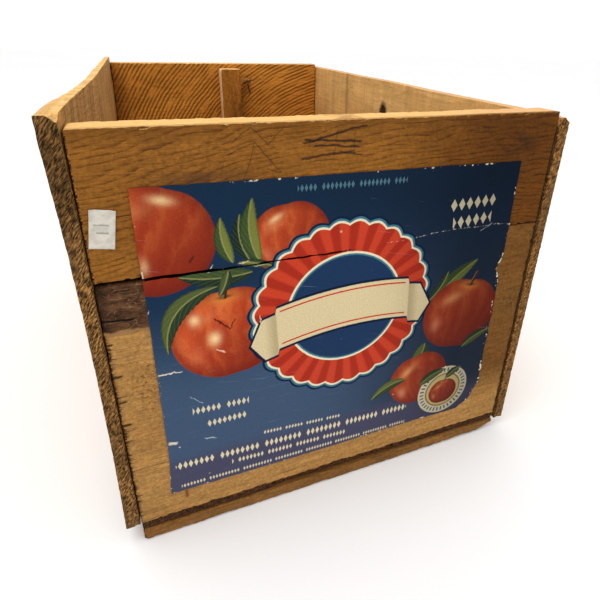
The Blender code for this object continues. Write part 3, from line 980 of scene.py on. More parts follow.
def front_lower_marks(m, colour, relief):
    """The dark split patch beside the label, with stains and split ends along the left edge; painted shade
    darkens the open joint, the right strip and both side edges.
    """
    height = m.z - END_LEVEL
    ragged = (noise(spot(m.x / 6, 0.0, m.z / 6), 3.0) - 0.5) * 5.0
    patch, skin, torn = split_patch(m, height, ragged)
    speck = noise(spot(m.x * 0.45, 0.0, m.z * 0.45), 4.0, 0.65)
    front = rise(m.y, FRONT_FACE + 5, FRONT_FACE + 3)
    # painted shade: the open joint where the label is torn is darkened on the front face
    colour = mix(front * slit_shade(m), colour, srgb(20, 13, 9))
    # painted shade: the right strip of the board darker
    shaded_right = rise(m.x + (speck - 0.5) * 12.0, 98.0, 122.0) * rise(height, 18.0, 60.0)
    colour = mix(front * shaded_right, colour, tinted(colour, (0.42, 0.34, 0.22)))
    splash = bell(m.x + 129.0, 8.0) * bell(height - 112.0, 26.0) * rise(speck, 0.53, 0.60)
    colour = mix(splash * 0.8, colour, srgb(96, 58, 24))
    smear = bell(m.x - 137.0, 8.0) * bell(height - 118.0, 14.0) * rise(speck, 0.45, 0.62)
    colour = mix(smear * 0.7, colour, srgb(48, 38, 26))
    kerf = noise(spot(m.z * 0.62, m.x * 0.02, 3.0), 3.0, 0.8)
    reach = rise(kerf, 0.46, 0.80) * 7.5 * rise(height, 152.0, 140.0)
    nick = rise(m.x + 146.2 - reach, 0.5, -0.3) * rise(kerf, 0.47, 0.52)
    for place, length in LOWER_CRACKS:
        start, end = (-148.0, place), (-146.0 + length, place + 0.6)
        nick = larger(nick, stroke(m.x, height, start, end, 1.0, ragged * 0.1))
    colour = mix(nick * 0.9, colour, srgb(44, 26, 12))
    # painted shade: darker along both side edges of the board, in the gaps beside the side boards
    edge = rise(absolute(m.x), 142.5, 146.0) * rise(speck, 0.35, 0.6)
    colour = mix(edge * 0.5, colour, srgb(58, 36, 18))
    rust_run = bell(m.x + 115.4, 1.2) * rise(height, 11.0, 13.0) * rise(height, 20.5, 18.5)
    colour = mix(rust_run * 0.8, colour, srgb(104, 46, 20))
    return mix(patch, colour, torn), relief - nick * 0.4 + patch * skin * 0.5


def rear_marks(m, colour, relief):
    """A knot with a split beside the batten, a stain that runs down from it, and painted shade darkening the
    inner face towards the left corner.
    """
    height = m.z - END_LEVEL
    inside = rise(m.y, 232.0, 230.0)
    ragged = (noise(spot(m.x * 0.3, 0.0, m.z * 0.3), 3.0) - 0.5) * 3.0
    knot = length_of((m.x - 39.0) / 9.0, (height - 231.0) / 14.0) + ragged * 0.3
    colour = mix(inside * rise(knot, 1.4, 0.5) * 0.45, colour, srgb(92, 52, 20))
    rim = rise(absolute(length_of(m.x - 38.0, (height - 226.0) * 0.8) - 11.5 + ragged * 0.5), 1.4, 0.4)
    colour = mix(inside * rim * rise(height, 233.0, 236.0) * 0.7, colour, srgb(206, 148, 88))
    for start, end, width in (((34, 233.5), (46, 239), 1.7), ((40, 233), (43.5, 219), 1.5)):
        colour = mix(inside * stroke(m.x, height, start, end, width, ragged) * 0.85, colour, srgb(40, 22, 12))
    run = bell(m.x - 32.0 + (226.0 - height) * 0.15, 7.0) * rise(height, 234.0, 222.0)
    colour = mix(inside * run * rise(height, 110.0, 205.0) * 0.5, colour, srgb(84, 50, 20))
    outside = rise(m.y, 238.0, 242.0)
    weather = noise(spot(m.x * 0.012, 5.0, m.z * 0.03), 5.0, 0.65)
    colour = mix(outside, colour, tinted(colour, (0.66, 0.70, 0.85)))
    colour = mix(outside * rise(weather, 0.45, 0.70) * 0.6, colour, tinted(colour, (0.5, 0.48, 0.5)))
    # painted shade: the inner face darker towards the corner with the left side board
    corner = rise(m.x + ragged * 2.0, -118.0, -143.0)
    colour = mix(inside * corner * 0.5, colour, srgb(74, 40, 12))
    return colour, relief


def end_gap(m, colour, side):
    """Painted shade in the gap beside the end boards: a dark, nicked band along the inner edge of a side
    board's front end, fading out near the top.
    """
    nicks = noise(spot(m.z * 0.7, 0.0, side * 7.0), 4.0, 0.75)
    depth = rise(nicks, 0.40, 0.75, 0.0, 1.6) + (0.9 if side > 0 else 0.0)
    # painted shade of the gap between the side board and the end boards
    gap = rise(m.x * side - 146.4 - depth, 0.3, -0.3) * rise(m.y, -243.0, -245.0)
    return mix(gap * rise(m.z, CRATE_TOP - 10.0, CRATE_TOP - 20.0) * 0.9, colour, srgb(44, 25, 13))


def right_side_marks(m, colour, relief):
    """Soft upright bands left by the planer, a dark upright stain and the rim of the knothole."""
    bands = noise(spot(m.y * 0.05, m.z * 0.004, 0.0), 3.0, 0.6)
    inner = rise(m.x, 150.0, 148.5)
    colour = shade(colour, 1.0 + inner * (rise(bands, 0.3, 0.7, 0.86, 1.1) - 1.0))
    colour = weathered_outside(m, colour, 1.0)
    stain = bell(m.y - 106.0 + (bands - 0.5) * 6.0, 4.5) * rise(bands, 0.3, 0.5)
    colour = mix(inner * stain * 0.5, colour, srgb(140, 92, 46))
    rim = length_of((m.y - KNOTHOLE[0]) / KNOTHOLE_RADII[0], (m.z - KNOTHOLE[1]) / KNOTHOLE_RADII[1])
    colour = mix(rise(rim, 1.7, 1.05) * 0.75, colour, srgb(66, 48, 34))
    return end_gap(m, colour, 1.0), relief


def batten_marks(m, colour, relief):
    """Painted light makes the batten's left face pale, and it is stained low down."""
    height = m.z - END_LEVEL
    # painted light: the faces turned to the left are painted pale cream
    colour = mix(rise(m.facing[0], -0.3, -0.8) * 0.9, colour, srgb(240, 206, 154))
    blot = noise(spot(m.x * 0.12, 0.0, m.z * 0.07), 4.0, 0.65)
    stain = rise(m.x, 4.0, 22.0) * rise(height, 232.0, 214.0) * rise(blot, 0.4, 0.6)
    return mix(stain * 0.6, colour, srgb(86, 52, 30)), relief


def left_side_marks(m, colour, relief):
    """Upright saw bands inside, and a pale stripe close to the rear corner."""
    inner = rise(m.x, -151.0, -149.5)
    bands = noise(spot((m.y - m.z * 0.55) * 0.09, m.z * 0.006, 0.0), 4.0, 0.65)
    colour = shade(colour, 1.0 + inner * (rise(bands, 0.32, 0.68, 0.72, 1.16) - 1.0))
    colour = weathered_outside(m, colour, -1.0)
    stripe = bell(m.y - 216.0, 4.0) - bell(m.y - 203.0, 4.0)
    colour = shade(colour, 1.0 + inner * stripe * 0.3)
    # painted shade: the board's front end darker towards the top
    above = rise(m.z - END_LEVEL, 185.0, 235.0, 1.0, 0.62)
    colour = shade(colour, rise(m.y, -246.0, -246.8, 1.0, 0.0) + rise(m.y, -246.0, -246.8) * above)
    return end_gap(m, colour, -1.0), relief


def build_boards():
    slanting = straight_saw(2.0, 0.2)
    front_upper = wood(
        "front_upper_pine", "x", srgb(150, 97, 36), srgb(108, 64, 20), rings=3.6, pith=(400.0, -262.0),
        tilt=-0.15, bend=5.0, figure=0.8, mottle=0.35, grime=0.4, saw=slanting, saw_depth=0.12,
        marks=front_upper_marks, cut_colour=srgb(120, 80, 36), joint_shade=True,
    )
    front_lower = wood(
        "front_lower_pine", "x", srgb(178, 132, 74), srgb(144, 100, 48), rings=5.0, pith=(60.0, -300.0),
        tilt=0.02, figure=0.35, mottle=0.45, grime=0.3, saw=slanting, saw_depth=0.12,
        marks=front_lower_marks, cut_colour=srgb(130, 88, 42), joint_shade=True,
    )
    rear = wood(
        "rear_pine", "x", srgb(198, 130, 50), srgb(152, 91, 28), rings=5.0, pith=(330.0, 330.0),
        tilt=0.02, figure=0.3, mottle=0.2, grime=0.25, saw=circular_saw(SAW_CENTRE, 4.6), saw_depth=1.5,
        marks=rear_marks, joint_shade=True,
    )
    left = wood(
        "left_side_pine", "y", srgb(204, 154, 88), srgb(156, 108, 54), rings=4.0, pith=(120.0, -60.0),
        tilt=0.02, figure=0.4, mottle=0.3, grime=0.3, saw=straight_saw(3.2, -0.5, worn=-1.0), saw_depth=0.5,
        marks=left_side_marks, cut_colour=srgb(124, 88, 47),
    )
    right = wood(
        "right_side_pine", "y", srgb(240, 190, 118), srgb(206, 150, 82), rings=5.0, pith=(240.0, 60.0),
        tilt=0.02, figure=0.3, mottle=0.2, grime=0.25, saw=straight_saw(9.0, 0.05), saw_depth=0.25,
        marks=right_side_marks, cut_colour=srgb(120, 80, 38), fuzz=0.3,
    )
    bottom = wood(
        "bottom_pine", "y", srgb(166, 118, 66), srgb(106, 68, 32), rings=3.4, pith=(120.0, 60.0),
        tilt=0.02, figure=0.5, grime=0.5, saw=straight_saw(2.4, 0.15), saw_depth=0.5,
        cut_colour=srgb(66, 40, 22),
    )
    cleat = wood(
        "cleat_pine", "x", srgb(146, 102, 52), srgb(98, 62, 28), rings=3.4, pith=(60.0, -180.0),
        tilt=0.03, figure=0.5, mottle=0.4, grime=0.5, saw=slanting, saw_depth=0.3,
        cut_colour=srgb(110, 72, 36),
    )
    batten = wood(
        "batten_pine", "z", srgb(176, 112, 42), srgb(128, 76, 26), rings=3.6, pith=(60.0, 260.0),
        tilt=0.02, figure=0.5, grime=0.3, saw=straight_saw(2.6, 0.32), saw_depth=0.7,
        marks=batten_marks,
    )
    patch_x = tuple(np.arange(-146, -120, 0.9))
    patch_z = tuple(END_LEVEL + np.arange(146, 182, 0.9))
    fastener_x = tuple(x + step for x in (-80, 80) for step in np.arange(-3, 3.1, 0.5))
    top_z = tuple(CRATE_TOP - 6.2 - np.arange(0, 5, 0.7))
    board(
        "front_end_upper_board", front_upper, seed=3, step=(1.3, 1.6, 2.6),
        chips=0.22, splinters=(1.1, 0.3, 0.15), extra=(fastener_x, (), top_z), sculpt=sculpt_front_upper,
    )
    board(
        "front_end_lower_board", front_lower, seed=7, step=(1.3, 2.6, 2.6),
        extra=(patch_x + fastener_x, (), patch_z), sculpt=sculpt_front_lower,
    )
    for level, seed in (("upper", 11), ("lower", 13)):
        board(
            f"rear_end_{level}_board", rear, seed=seed, step=2.2,
            extra=(fastener_x, (), ()), sculpt=sculpt_rear,
        )
    for name, material, seed, sculpt in (
        ("left", left, 17, sculpt_left_side),
        ("right", right, 19, sculpt_right_side),
    ):
        side_board = board(
            f"{name}_side_board", material, seed=seed, sculpt=sculpt,
            step=(0.6, 5.0, 0.8), radius=0.4, chips=0.10, splinters=0.2,
        )
    cut_hole(side_board, (SIDE_MIDDLE, *KNOTHOLE), KNOTHOLE_RADII, 79)
    for number, name in enumerate(("left", "centre", "right")):
        board(f"bottom_board_{name}", bottom, seed=23 + number, step=4)
    board("front_bottom_cleat", cleat, seed=29, sculpt=sculpt_cleat, radius=1.4)
    board("rear_bottom_cleat", cleat, seed=31, radius=1.4)
    board("rear_end_batten", batten, seed=37)


# ---------------------------------------------------------------- the label

TEAR_END = 3  # x where the tear along the joint ends


def label_outline(low, high, along, rows):
    """Points of the label's sheet from 0 to 1 along each way, with its uneven and torn edges."""
    height = low[2] + (high[2] - low[2]) * rows
    upright = np.stack([along * 0, along * 0, height], axis=1)
    ragged = wander(upright, 3.2, 61, 3)
    slow = wander(upright, 45, 62, 2)
    left = low[0] + 0.5 * slow + 0.12 * ragged - 2.2 * ramp(height, low[2] + 40, low[2])
    torn = np.interp(height - low[2], (0, 7.2, 24), (-19, -7.6, 0))
    bite = -4.2 * np.exp(-(((height - END_LEVEL - 149) / 5) ** 2))
    rough = np.where(height - END_LEVEL < 158, 0.9, 0.2)
    right = high[0] + 0.3 * slow + rough * ragged + torn + bite - 0.4
    x = left + (right - left) * along
    ragged = line_wander(x, 4, 63, 3)
    slow = line_wander(x, 60, 64, 2)
    bottom = low[2] + 0.5 * slow + 0.35 * ragged
    top = high[2] + 1.2 - 2.6 * along + 0.15 * slow + 0.25 * ragged
    z = bottom + (top - bottom) * rows
    edge = np.minimum.reduce([x - left, right - x, z - bottom, top - z])
    return x, z, edge


def joint_height(x):
    """Where the label is torn and creased, over the joint between the two end boards."""
    return JOINT_LEVEL - 0.4 + 0.5 * line_wander(x, 16, 65, 3) + 3.8 * ramp(x, 10, 60)


def build_label():
    """The paper, torn along the joint from the left edge to the middle and wrinkled from there on."""
    low, high = box_mm("label")
    paper_back = low[1] + 0.15
    columns = graded(0, high[0] - low[0], 2.2) / (high[0] - low[0])
    split = JOINT_LEVEL - low[2]
    fine = [split + step for step in np.arange(-6, 10.1, 0.7)]
    rows = graded(0, high[2] - low[2], 1.5, fine) / (high[2] - low[2])
    tear_row = int(np.argmin(np.abs(rows * (high[2] - low[2]) - split)))
    grid_x, grid_z = np.meshgrid(columns, rows)
    x, z, edge = label_outline(low, high, grid_x.ravel(), grid_z.ravel())
    x = x.reshape(grid_x.shape)
    z = z.reshape(grid_x.shape)
    edge = edge.reshape(grid_x.shape)
    line = joint_height(x[tear_row])
    pull = np.exp(-(((z - z[tear_row]) / 9.0) ** 2)) * (line - z[tear_row])
    z = z + pull
    gape = 0.45 * ramp(x, 4, -20) + 0.45 * ramp(x, -60, -118) + 0.12
    gape_up = gape + 0.45 * line_wander(x[0], 3.5, 66, 2, 7)
    gape_down = gape + 0.45 * line_wander(x[0], 3.5, 67, 2, 31)
    from_tear = np.abs(z - line)
    edge = np.where(x < TEAR_END, np.minimum(edge, from_tear + 0.62), edge)
    opening = np.exp(-(from_tear / 3.0) ** 2)
    from_row = np.arange(len(rows))[:, None] - tear_row
    z = z + ((from_row > 0) * gape_up - (from_row < 0) * gape_down) * opening * (x < TEAR_END)
    crest_line = line + 1.8 * line_wander(x[0], 26, 68, 2)
    crease = np.exp(-(((z - crest_line) / 0.9) ** 2)) * ramp(x, 6, 22)
    ridge = 0.75 * np.exp(-(((z - crest_line) / 1.5) ** 2)) * ramp(x, 6, 30)
    flat = np.stack([x.ravel(), x.ravel() * 0, z.ravel()], axis=1)
    waves = 0.14 * (1 + wander(flat, (30, 1, 18), 69, 3).reshape(x.shape))
    lift = 0.5 * ramp(edge, 3.0, 0.0) * ramp(wander(flat, 16, 70, 2).reshape(x.shape), 0.25, 0.7)
    y = paper_back - waves - ridge - lift
    points = np.stack([x, y, z], axis=-1).reshape(-1, 3)
    number = np.arange(len(points)).reshape(x.shape)
    parted = np.flatnonzero(x[tear_row] < TEAR_END)
    on_tear = number[tear_row, parted]
    raised = points[on_tear] + np.outer(gape_up[tear_row, parted], (0, 0, 1))
    points[on_tear, 2] -= gape_down[tear_row, parted]
    faces = sheet_faces(number, tear_row, parted, len(points) + np.arange(len(parted)))
    points = np.concatenate([points, raised])
    edges = np.concatenate([edge.ravel(), np.full(len(parted), 0.75)])
    creases = np.concatenate([crease.ravel(), np.zeros(len(parted))])
    piece = new_piece("label_paper", points, faces, label_material(), ["label"], 60)
    add_layer(piece, "edge", edges)
    add_layer(piece, "crease", creases)
    thicken(piece, 0.22)


def sheet_faces(number, tear_row=None, parted=(), doubles=()):
    """Quads between rows of points; above the tear, its parted columns start from doubled points."""
    strips = []
    for row, (lower, upper) in enumerate(zip(number[:-1], number[1:])):
        lower = lower.copy()
        if row == tear_row:
            lower[parted] = doubles
        strips.append(np.stack([lower[:-1], lower[1:], upper[1:], upper[:-1]], axis=1))
    return np.concatenate(strips)


def paint_apple(a, b, sheen, streak, shadow, stem):
    """One apple about its own centre, in radii, with the stem up."""
    crown = bell(a, 0.28) * rise(b, 0.0, 0.6, 0.0, 0.07)
    base = bell(a, 0.25) * rise(b, 0.0, -0.6, 0.0, 0.04)
    reach = length_of(a, absolute(b) * 1.06 + crown + base)
    light = rise(b * 0.6 - a * 0.5, -0.75, 0.7)
    skin = mix(light, srgb(130, 42, 24), srgb(194, 78, 40))
    line = calculate("SINE", a * 34.0 / (b + 2.2) + streak * 14.0) * 0.25 + streak
    skin = mix(rise(line, 0.45, 0.9) * light * 0.45, skin, srgb(222, 122, 62))
    skin = mix(rise(line, 0.42, 0.2) * 0.3, skin, srgb(132, 36, 26))
    skin = mix(rise(reach, 0.72, 1.0) * 0.5, skin, srgb(100, 28, 22))
    skin = mix(shadow, skin, srgb(108, 34, 26))
    glint = bell(length_of(a * 0.8 + b * 0.55 + 0.06, (b - a * 0.6 - 0.62) * 1.9), 0.26)
    skin = mix(glint * sheen * 0.75, skin, srgb(238, 176, 112))
    glint = bell(length_of(a + 0.62, (b + 0.28) * 0.7), 0.13)
    skin = mix(glint * sheen * 0.7, skin, srgb(232, 150, 112))
    bowl = bell(length_of(a * 0.9, (b - 0.74) * 2.2), 0.24)
    skin = mix(bowl * stem * 0.8, skin, srgb(208, 128, 58))
    bowl = bell(length_of(a * 0.9 - 0.03, (b - 0.76) * 3.2), 0.12)
    skin = mix(bowl * stem, skin, srgb(64, 30, 22))
    side = a - 0.02 - (b - 0.74) * 0.28
    stalk = rise(absolute(side), 0.05, 0.03) * rise(b, 0.70, 0.74) * rise(b, 1.12, 1.08) * stem
    skin = mix(stalk, skin, mix(rise(side, -0.03, 0.02), srgb(124, 94, 58), srgb(48, 32, 24)))
    return larger(rise(reach, 1.015, 0.985), stalk), skin


def paint_leaf(along, across, span, width, bend, pale):
    """One leaf from 0 to 1 along its length; span, width and bend are in mm."""
    hump = along * (1.0 - along)
    side = (across - hump * 4.0 * bend / span) * span
    body = power(larger(hump * 4.0, 0.0001), 0.72) * (1.12 - along * 0.3) * 0.5 * width
    teeth = (fraction(along * 13.0) - 0.5) * 0.05 * width
    inside = rise(absolute(side) - body - teeth, 0.25, -0.25)
    ribs = absolute(fraction(along * 7.0 - absolute(side) * 5.0 / width) - 0.5)
    lit = mix(pale, srgb(34, 58, 40), srgb(112, 118, 54))
    dim = mix(pale, srgb(20, 38, 36), srgb(58, 76, 42))
    tone = mix(rise(side, -0.5, 0.5), lit, dim)
    tone = mix(rise(ribs, 0.10, 0.0) * 0.25, tone, srgb(140, 144, 84))
    tone = mix(rise(absolute(side), 0.7, 0.2) * 0.6, tone, srgb(150, 148, 86))
    rim = rise(absolute(side) - body, -1.4, -0.2)
    tone = mix(rim * 0.5, tone, srgb(24, 40, 36))
    return inside * rise(along, 0.0, 0.01) * rise(along, 1.0, 0.99), tone


class Art:
    """The printed picture: x across the label and h up it, in mm, and the colour so far."""

    def __init__(self, material, ground):
        wobble = noise(spot(material.x * 0.4, 0.0, material.z * 0.4), 2.0) - 0.5
        self.x = fused(wobble, 0.5, material.x)
        self.h = fused(wobble, 0.5, material.z - END_LEVEL)
        self.streak = noise(spot(material.x * 0.10, 0.0, material.z * 0.05), 4.0, 0.65)
        self.colour = ground
        self.layers = 0
        self.apples = make_group("apple", ("a", "b", "sheen", "streak", "shadow", "stem"), paint_apple)
        self.leaves = make_group("leaf", ("along", "across", "span", "width", "bend", "pale"), paint_leaf)

    def lay(self, mask, colour):
        """Prints a colour over the picture so far."""
        self.colour = mix(mask, self.colour, colour)
        self.layers += 1
        if self.layers % 5 == 0:
            # what comes next waits for what is there, so that the shader keeps little at a time
            after = calculate("MULTIPLY", self.colour, 0.0001)
            self.x = self.x + after
            self.h = self.h + after

    def local(self, centre, radius, tilt=0.0):
        """Coordinates about a centre, in radii, turned by tilt degrees."""
        turn = math.radians(tilt)
        across, up = math.cos(turn) / radius, math.sin(turn) / radius
        return (
            fused(self.x, across, fused(self.h, up, -centre[0] * across - centre[1] * up)),
            fused(self.h, across, fused(self.x, -up, centre[0] * up - centre[1] * across)),
        )

    def apple(self, centre, radius, tilt, shadow, sheen=0.75, stem=1.0):
        a, b = self.local(centre, radius, tilt)
        self.lay(*use_group(self.apples, a, b, sheen, self.streak, shadow, stem))

    def leaf(self, start, end, width, bend, pale):
        span = math.dist(start, end)
        tilt = math.degrees(math.atan2(end[1] - start[1], end[0] - start[0]))
        along, across = self.local(start, span, tilt)
        self.lay(*use_group(self.leaves, along, across, span, float(width), float(bend), pale))

    def glint(self, centre, size, tilt, strength):
        """A pale highlight on a fruit."""
        a, b = self.local(centre, 1.0, tilt)
        self.lay(bell(length_of(a / size[0], b / size[1]), 1.0) * strength, srgb(238, 200, 144))

    def rosette(self, centre, radius):
        """A plain pleated prize rosette."""
        a, b = self.local(centre, 1.0)
        reach = length_of(a, b)
        angle = calculate("ARCTAN2", b, a)
        scallop = reach - absolute(calculate("SINE", angle * 14.0)) * 2.6
        for grow, colour in (
            (4.6, srgb(16, 32, 58)),
            (3.0, srgb(58, 112, 128)),
            (1.5, srgb(226, 214, 180)),
        ):
            self.lay(rise(scallop, radius + grow + 0.3, radius + grow - 0.3), colour)
        pleats = rise(calculate("SINE", angle * 28.0), -0.6, 0.6)
        red = mix(pleats, srgb(160, 44, 28), srgb(190, 62, 38))
        self.lay(rise(scallop, radius + 0.3, radius - 0.3), red)
        for ring, colour in (
            (0.70, srgb(226, 214, 180)),
            (0.675, srgb(58, 112, 128)),
            (0.655, srgb(30, 52, 84)),
        ):
            self.lay(rise(reach, ring * radius + 0.3, ring * radius - 0.3), colour)

    def ribbon(self, centre, size):
        """A blank cream ribbon with notched ends, arched a little."""
        a, b = self.local(centre, 1.0, 3.0)
        half, tall = size[0] / 2, size[1] / 2
        wide = absolute(a)
        fold = rise(wide, half * 0.72, half * 0.74)
        high = absolute(b + a * a * 0.0022 + fold * 4.0)
        notch = high * 0.55
        for grow, colour in (
            (1.8, srgb(14, 28, 52)),
            (0.0, srgb(208, 190, 148)),
        ):
            inside = rise(high, tall + grow + 0.3, tall + grow - 0.3)
            inside = inside * rise(wide + notch, half + grow + 0.3, half + grow - 0.3)
            self.lay(inside, colour)
        shadow = fold * rise(wide, half * 0.88, half * 0.74) * rise(high, tall + 0.3, tall - 0.3) * 0.6
        self.lay(shadow, srgb(150, 132, 96))
        line = rise(absolute(high - tall + 3.0), 0.7, 0.4) * rise(wide, half * 0.70, half * 0.68)
        self.lay(line, srgb(190, 58, 38))

    def beads(self, centre, size, pitch, tilt, colour, opacity, group=0):
        """A row of upright lozenges, as a printer's ornament, with a gap after each group of them."""
        a, b = self.local(centre, 1.0, tilt)
        cell = absolute(fraction(a / pitch) - 0.5)
        lozenge = cell / 0.40 + absolute(b) / (size[1] * 0.5)
        inside = rise(lozenge, 1.1, 0.9) * rise(absolute(a), size[0] / 2 + 0.2, size[0] / 2 - 0.2)
        if group:
            inside = inside * rise(fraction(a / (pitch * group)), 0.999 / group, 1.001 / group)
        self.lay(inside * opacity, colour)

    def seal(self, centre, radius):
        """A small round seal: a ticked cream ring round an apple."""
        a, b = self.local(centre, radius)
        reach = length_of(a, b)
        angle = calculate("ARCTAN2", b, a)
        self.lay(rise(reach, 1.01, 0.98), srgb(206, 198, 168))
        ticks = rise(calculate("SINE", angle * 36.0), 0.0, 0.5)
        ticks = ticks * rise(reach, 0.76, 0.79) * rise(reach, 0.94, 0.91)
        self.lay(ticks * 0.85, srgb(40, 52, 62))
        self.lay(rise(reach, 0.73, 0.70), srgb(150, 112, 58))
        self.lay(rise(reach, 0.67, 0.64), srgb(196, 178, 120))
        self.apple((centre[0], centre[1] - 0.06 * radius), radius * 0.56, 0.0, 0.4, 0.5)
        self.leaf(
            (centre[0] + 1, centre[1] + 0.5 * radius),
            (centre[0] + 0.62 * radius, centre[1] + 0.86 * radius),
            7.0, 1.0, 0.35,
        )


# Scratches and tears of the paper: start and end, half width and colour.
PAPER_STROKES = (
    ((-122, 118), (-109, 117.5), 0.6, (214, 204, 184)),
    ((-89, 180.5), (-86.5, 184.5), 0.5, (206, 196, 172)),
    ((-72, 183.2), (-66, 183.6), 0.45, (196, 178, 140)),
    ((-63, 180.2), (-56, 180.8), 0.4, (186, 176, 150)),
    ((-98, 188), (-96, 192), 0.8, (70, 26, 20)),
    ((-61, 146), (-60.5, 141), 0.5, (206, 196, 172)),
    ((-88, 150), (-79, 141), 0.8, (52, 26, 22)),
    ((-79, 141), (-76, 147), 0.6, (60, 28, 22)),
    ((-88, 128), (-83, 125), 0.6, (222, 190, 160)),
    ((-122, 64), (-117, 63), 1.4, (214, 204, 184)),
    ((-100, 61), (-93, 59), 0.6, (170, 176, 184)),
    ((-106, 97), (-99, 90), 0.4, (150, 164, 178)),
    ((96, 182), (104, 187), 0.5, (120, 124, 128)),
)


def print_art(art):
    """The fruit, the blank rosette, ribbon and seal, and rows of lozenges, from back to front."""
    cream = srgb(214, 202, 168)
    art.leaf((-65, 184), (-70, 213), 10, 3, 0.1)
    art.apple((-41, 195), 24, 8, 0.15, sheen=0.3, stem=0.0)
    art.glint((-50, 208), (4.4, 1.8), 32, 0.7)
    art.apple((-117, 202.5), 34, -20, 0.3, sheen=0.25, stem=0.0)
    art.glint((-109, 224.5), (5.6, 2.4), -14, 0.8)
    art.glint((-121, 189), (2.2, 4.4), 0, 0.4)
    art.leaf((-75, 184), (-80.5, 212), 9, 2.5, 0.95)
    art.leaf((-59.5, 182), (-62.8, 221.5), 11, 4, 1.0)
    art.leaf((-64, 177), (-105, 180), 12, 2.5, 0.2)
    art.leaf((-72, 184), (-50, 178), 5, 1, 0.6)
    art.apple((-79.5, 138), 33.5, 6, 0.0, sheen=0.2)
    art.glint((-99, 151), (3.0, 3.6), 0, 0.8)
    art.glint((-88.5, 136), (3.4, 4.4), 0, 0.95)
    art.leaf((-84, 171), (-115, 131), 12, -11, 0.4)
    art.leaf((-78, 180), (-84, 164), 7, 1, 0.3)
    art.leaf((62, 128), (98, 160), 13, 3, 0.75)
    art.leaf((60, 132), (74, 154), 9, -2, 0.3)
    art.leaf((62, 96), (50, 74), 14, 3, 0.4)
    art.apple((90, 116), 32, -10, 0.5, sheen=0.5)
    art.leaf((96, 84), (120, 96), 9, 2, 0.4)
    art.apple((60, 64), 25, 14, 0.4, stem=0.0)
    art.leaf((48, 66), (20, 54), 9, -3, 0.6)
    art.rosette((-4, 140), 58)
    art.ribbon((-4, 141), (128, 30))
    art.seal((85, 45), 23)
    art.leaf((62, 56), (84, 66), 9, 2, 0.4)
    faded = srgb(84, 124, 136)
    art.beads((-2, 224), (70, 4.6), 2.6, -0.5, faded, 0.8, 9)
    art.beads((86, 203.5), (37.2, 8.6), 6.2, 2, cream, 0.95)
    art.beads((87, 191.0), (31.0, 8.6), 6.2, 3, cream, 0.95)
    art.beads((-88, 84.5), (35.2, 5.8), 3.2, -2, cream, 0.9, 7)
    art.beads((-85, 72.5), (25.6, 5.8), 3.2, 0, cream, 0.9)
    art.beads((-33, 50), (58, 3.6), 2.2, -4, cream, 0.85, 7)
    art.beads((-34, 40.5), (172, 6.6), 3.4, -1.5, cream, 0.95, 9)
    art.beads((-41, 32.0), (86, 4.8), 2.6, -2, cream, 0.9, 8)
    art.beads((-33, 23.5), (170, 3.6), 2.1, -0.5, cream, 0.8, 11)


def weather_paper(m, printed, shadow, mottle):
    """The printed colour darkened by painted shade, a little greyer towards the bottom, chipped at its edges,
    creased, wrinkled with painted light and shade, and scratched; also its grain.
    """
    # the wear is worked out from the finished art, so that the shader keeps little at a time
    after = calculate("MULTIPLY", printed, 0.0001)
    x, z = m.x + after, m.z + after
    height = z - END_LEVEL
    grain = noise(spot(x * 1.1, 0.0, z * 1.1), 3.0, 0.7)
    colour = shade(printed, shadow)
    colour = shade(colour, rise(grain, 0.3, 0.7, 0.88, 1.12))
    # a little greyer towards the bottom
    greyed_below = rise(height + mottle * 60.0, 170.0, 60.0) * 0.02
    colour = mix(greyed_below, colour, srgb(150, 146, 140))
    paper = srgb(206, 192, 164)
    edge = m.attribute("edge")
    fringe = noise(spot(x * 0.35, 0.0, z * 0.35), 4.0, 0.7)
    chip = noise(spot(x * 0.07, 0.0, z * 0.07), 3.0, 0.7)
    ragged_side = rise(x, 96.0, 112.0) * rise(height, 160.0, 150.0)
    chip = chip * 0.55 + fringe * 0.45 + ragged_side * 0.03
    width = 0.9 + ragged_side * fringe * 1.8
    colour = mix(rise(edge - width, 0.2, -0.2) * rise(chip, 0.575, 0.61), colour, paper)
    crease = m.attribute("crease")
    colour = mix(rise(crease * fringe, 0.42, 0.55) * 0.6, colour, paper)
    scuff = rise(noise(spot(x * 0.25, 0.0, z * 0.5), 5.0, 0.7), 0.69, 0.73)
    colour = mix(scuff * 0.6, colour, srgb(172, 152, 122))
    dots = speckles(spot(x, 0.0, z), 0.055)
    colour = mix(rise(dots, 0.055, 0.03) * rise(mottle, 0.45, 0.6), colour, paper)
    # painted light and shade along the wrinkles: pale streaks on their ridges, dark streaks in their folds
    wrinkle = noise(spot(x * 0.03, 0.0, z * 0.9), 4.0, 0.7)
    wrinkled = rise(height, 150.0, 120.0) * rise(x, 20.0, -60.0)
    colour = mix(rise(wrinkle, 0.60, 0.72) * wrinkled * 0.35, colour, srgb(120, 140, 160))
    colour = mix(rise(wrinkle, 0.36, 0.28) * wrinkled * 0.3, colour, srgb(30, 40, 60))
    scratch_path = x * 0.12 + z * 0.5
    scratch = rise(noise(spot(scratch_path * 3.0, 0.0, x * 0.02), 2.0), 0.715, 0.74)
    colour = mix(scratch * 0.35, colour, srgb(150, 160, 170))
    sway = (fringe - 0.5) * 4.0
    for start, end, width, tone in PAPER_STROKES:
        colour = mix(stroke(x, height, start, end, width, sway) * 0.9, colour, srgb(*tone))
    return colour, grain


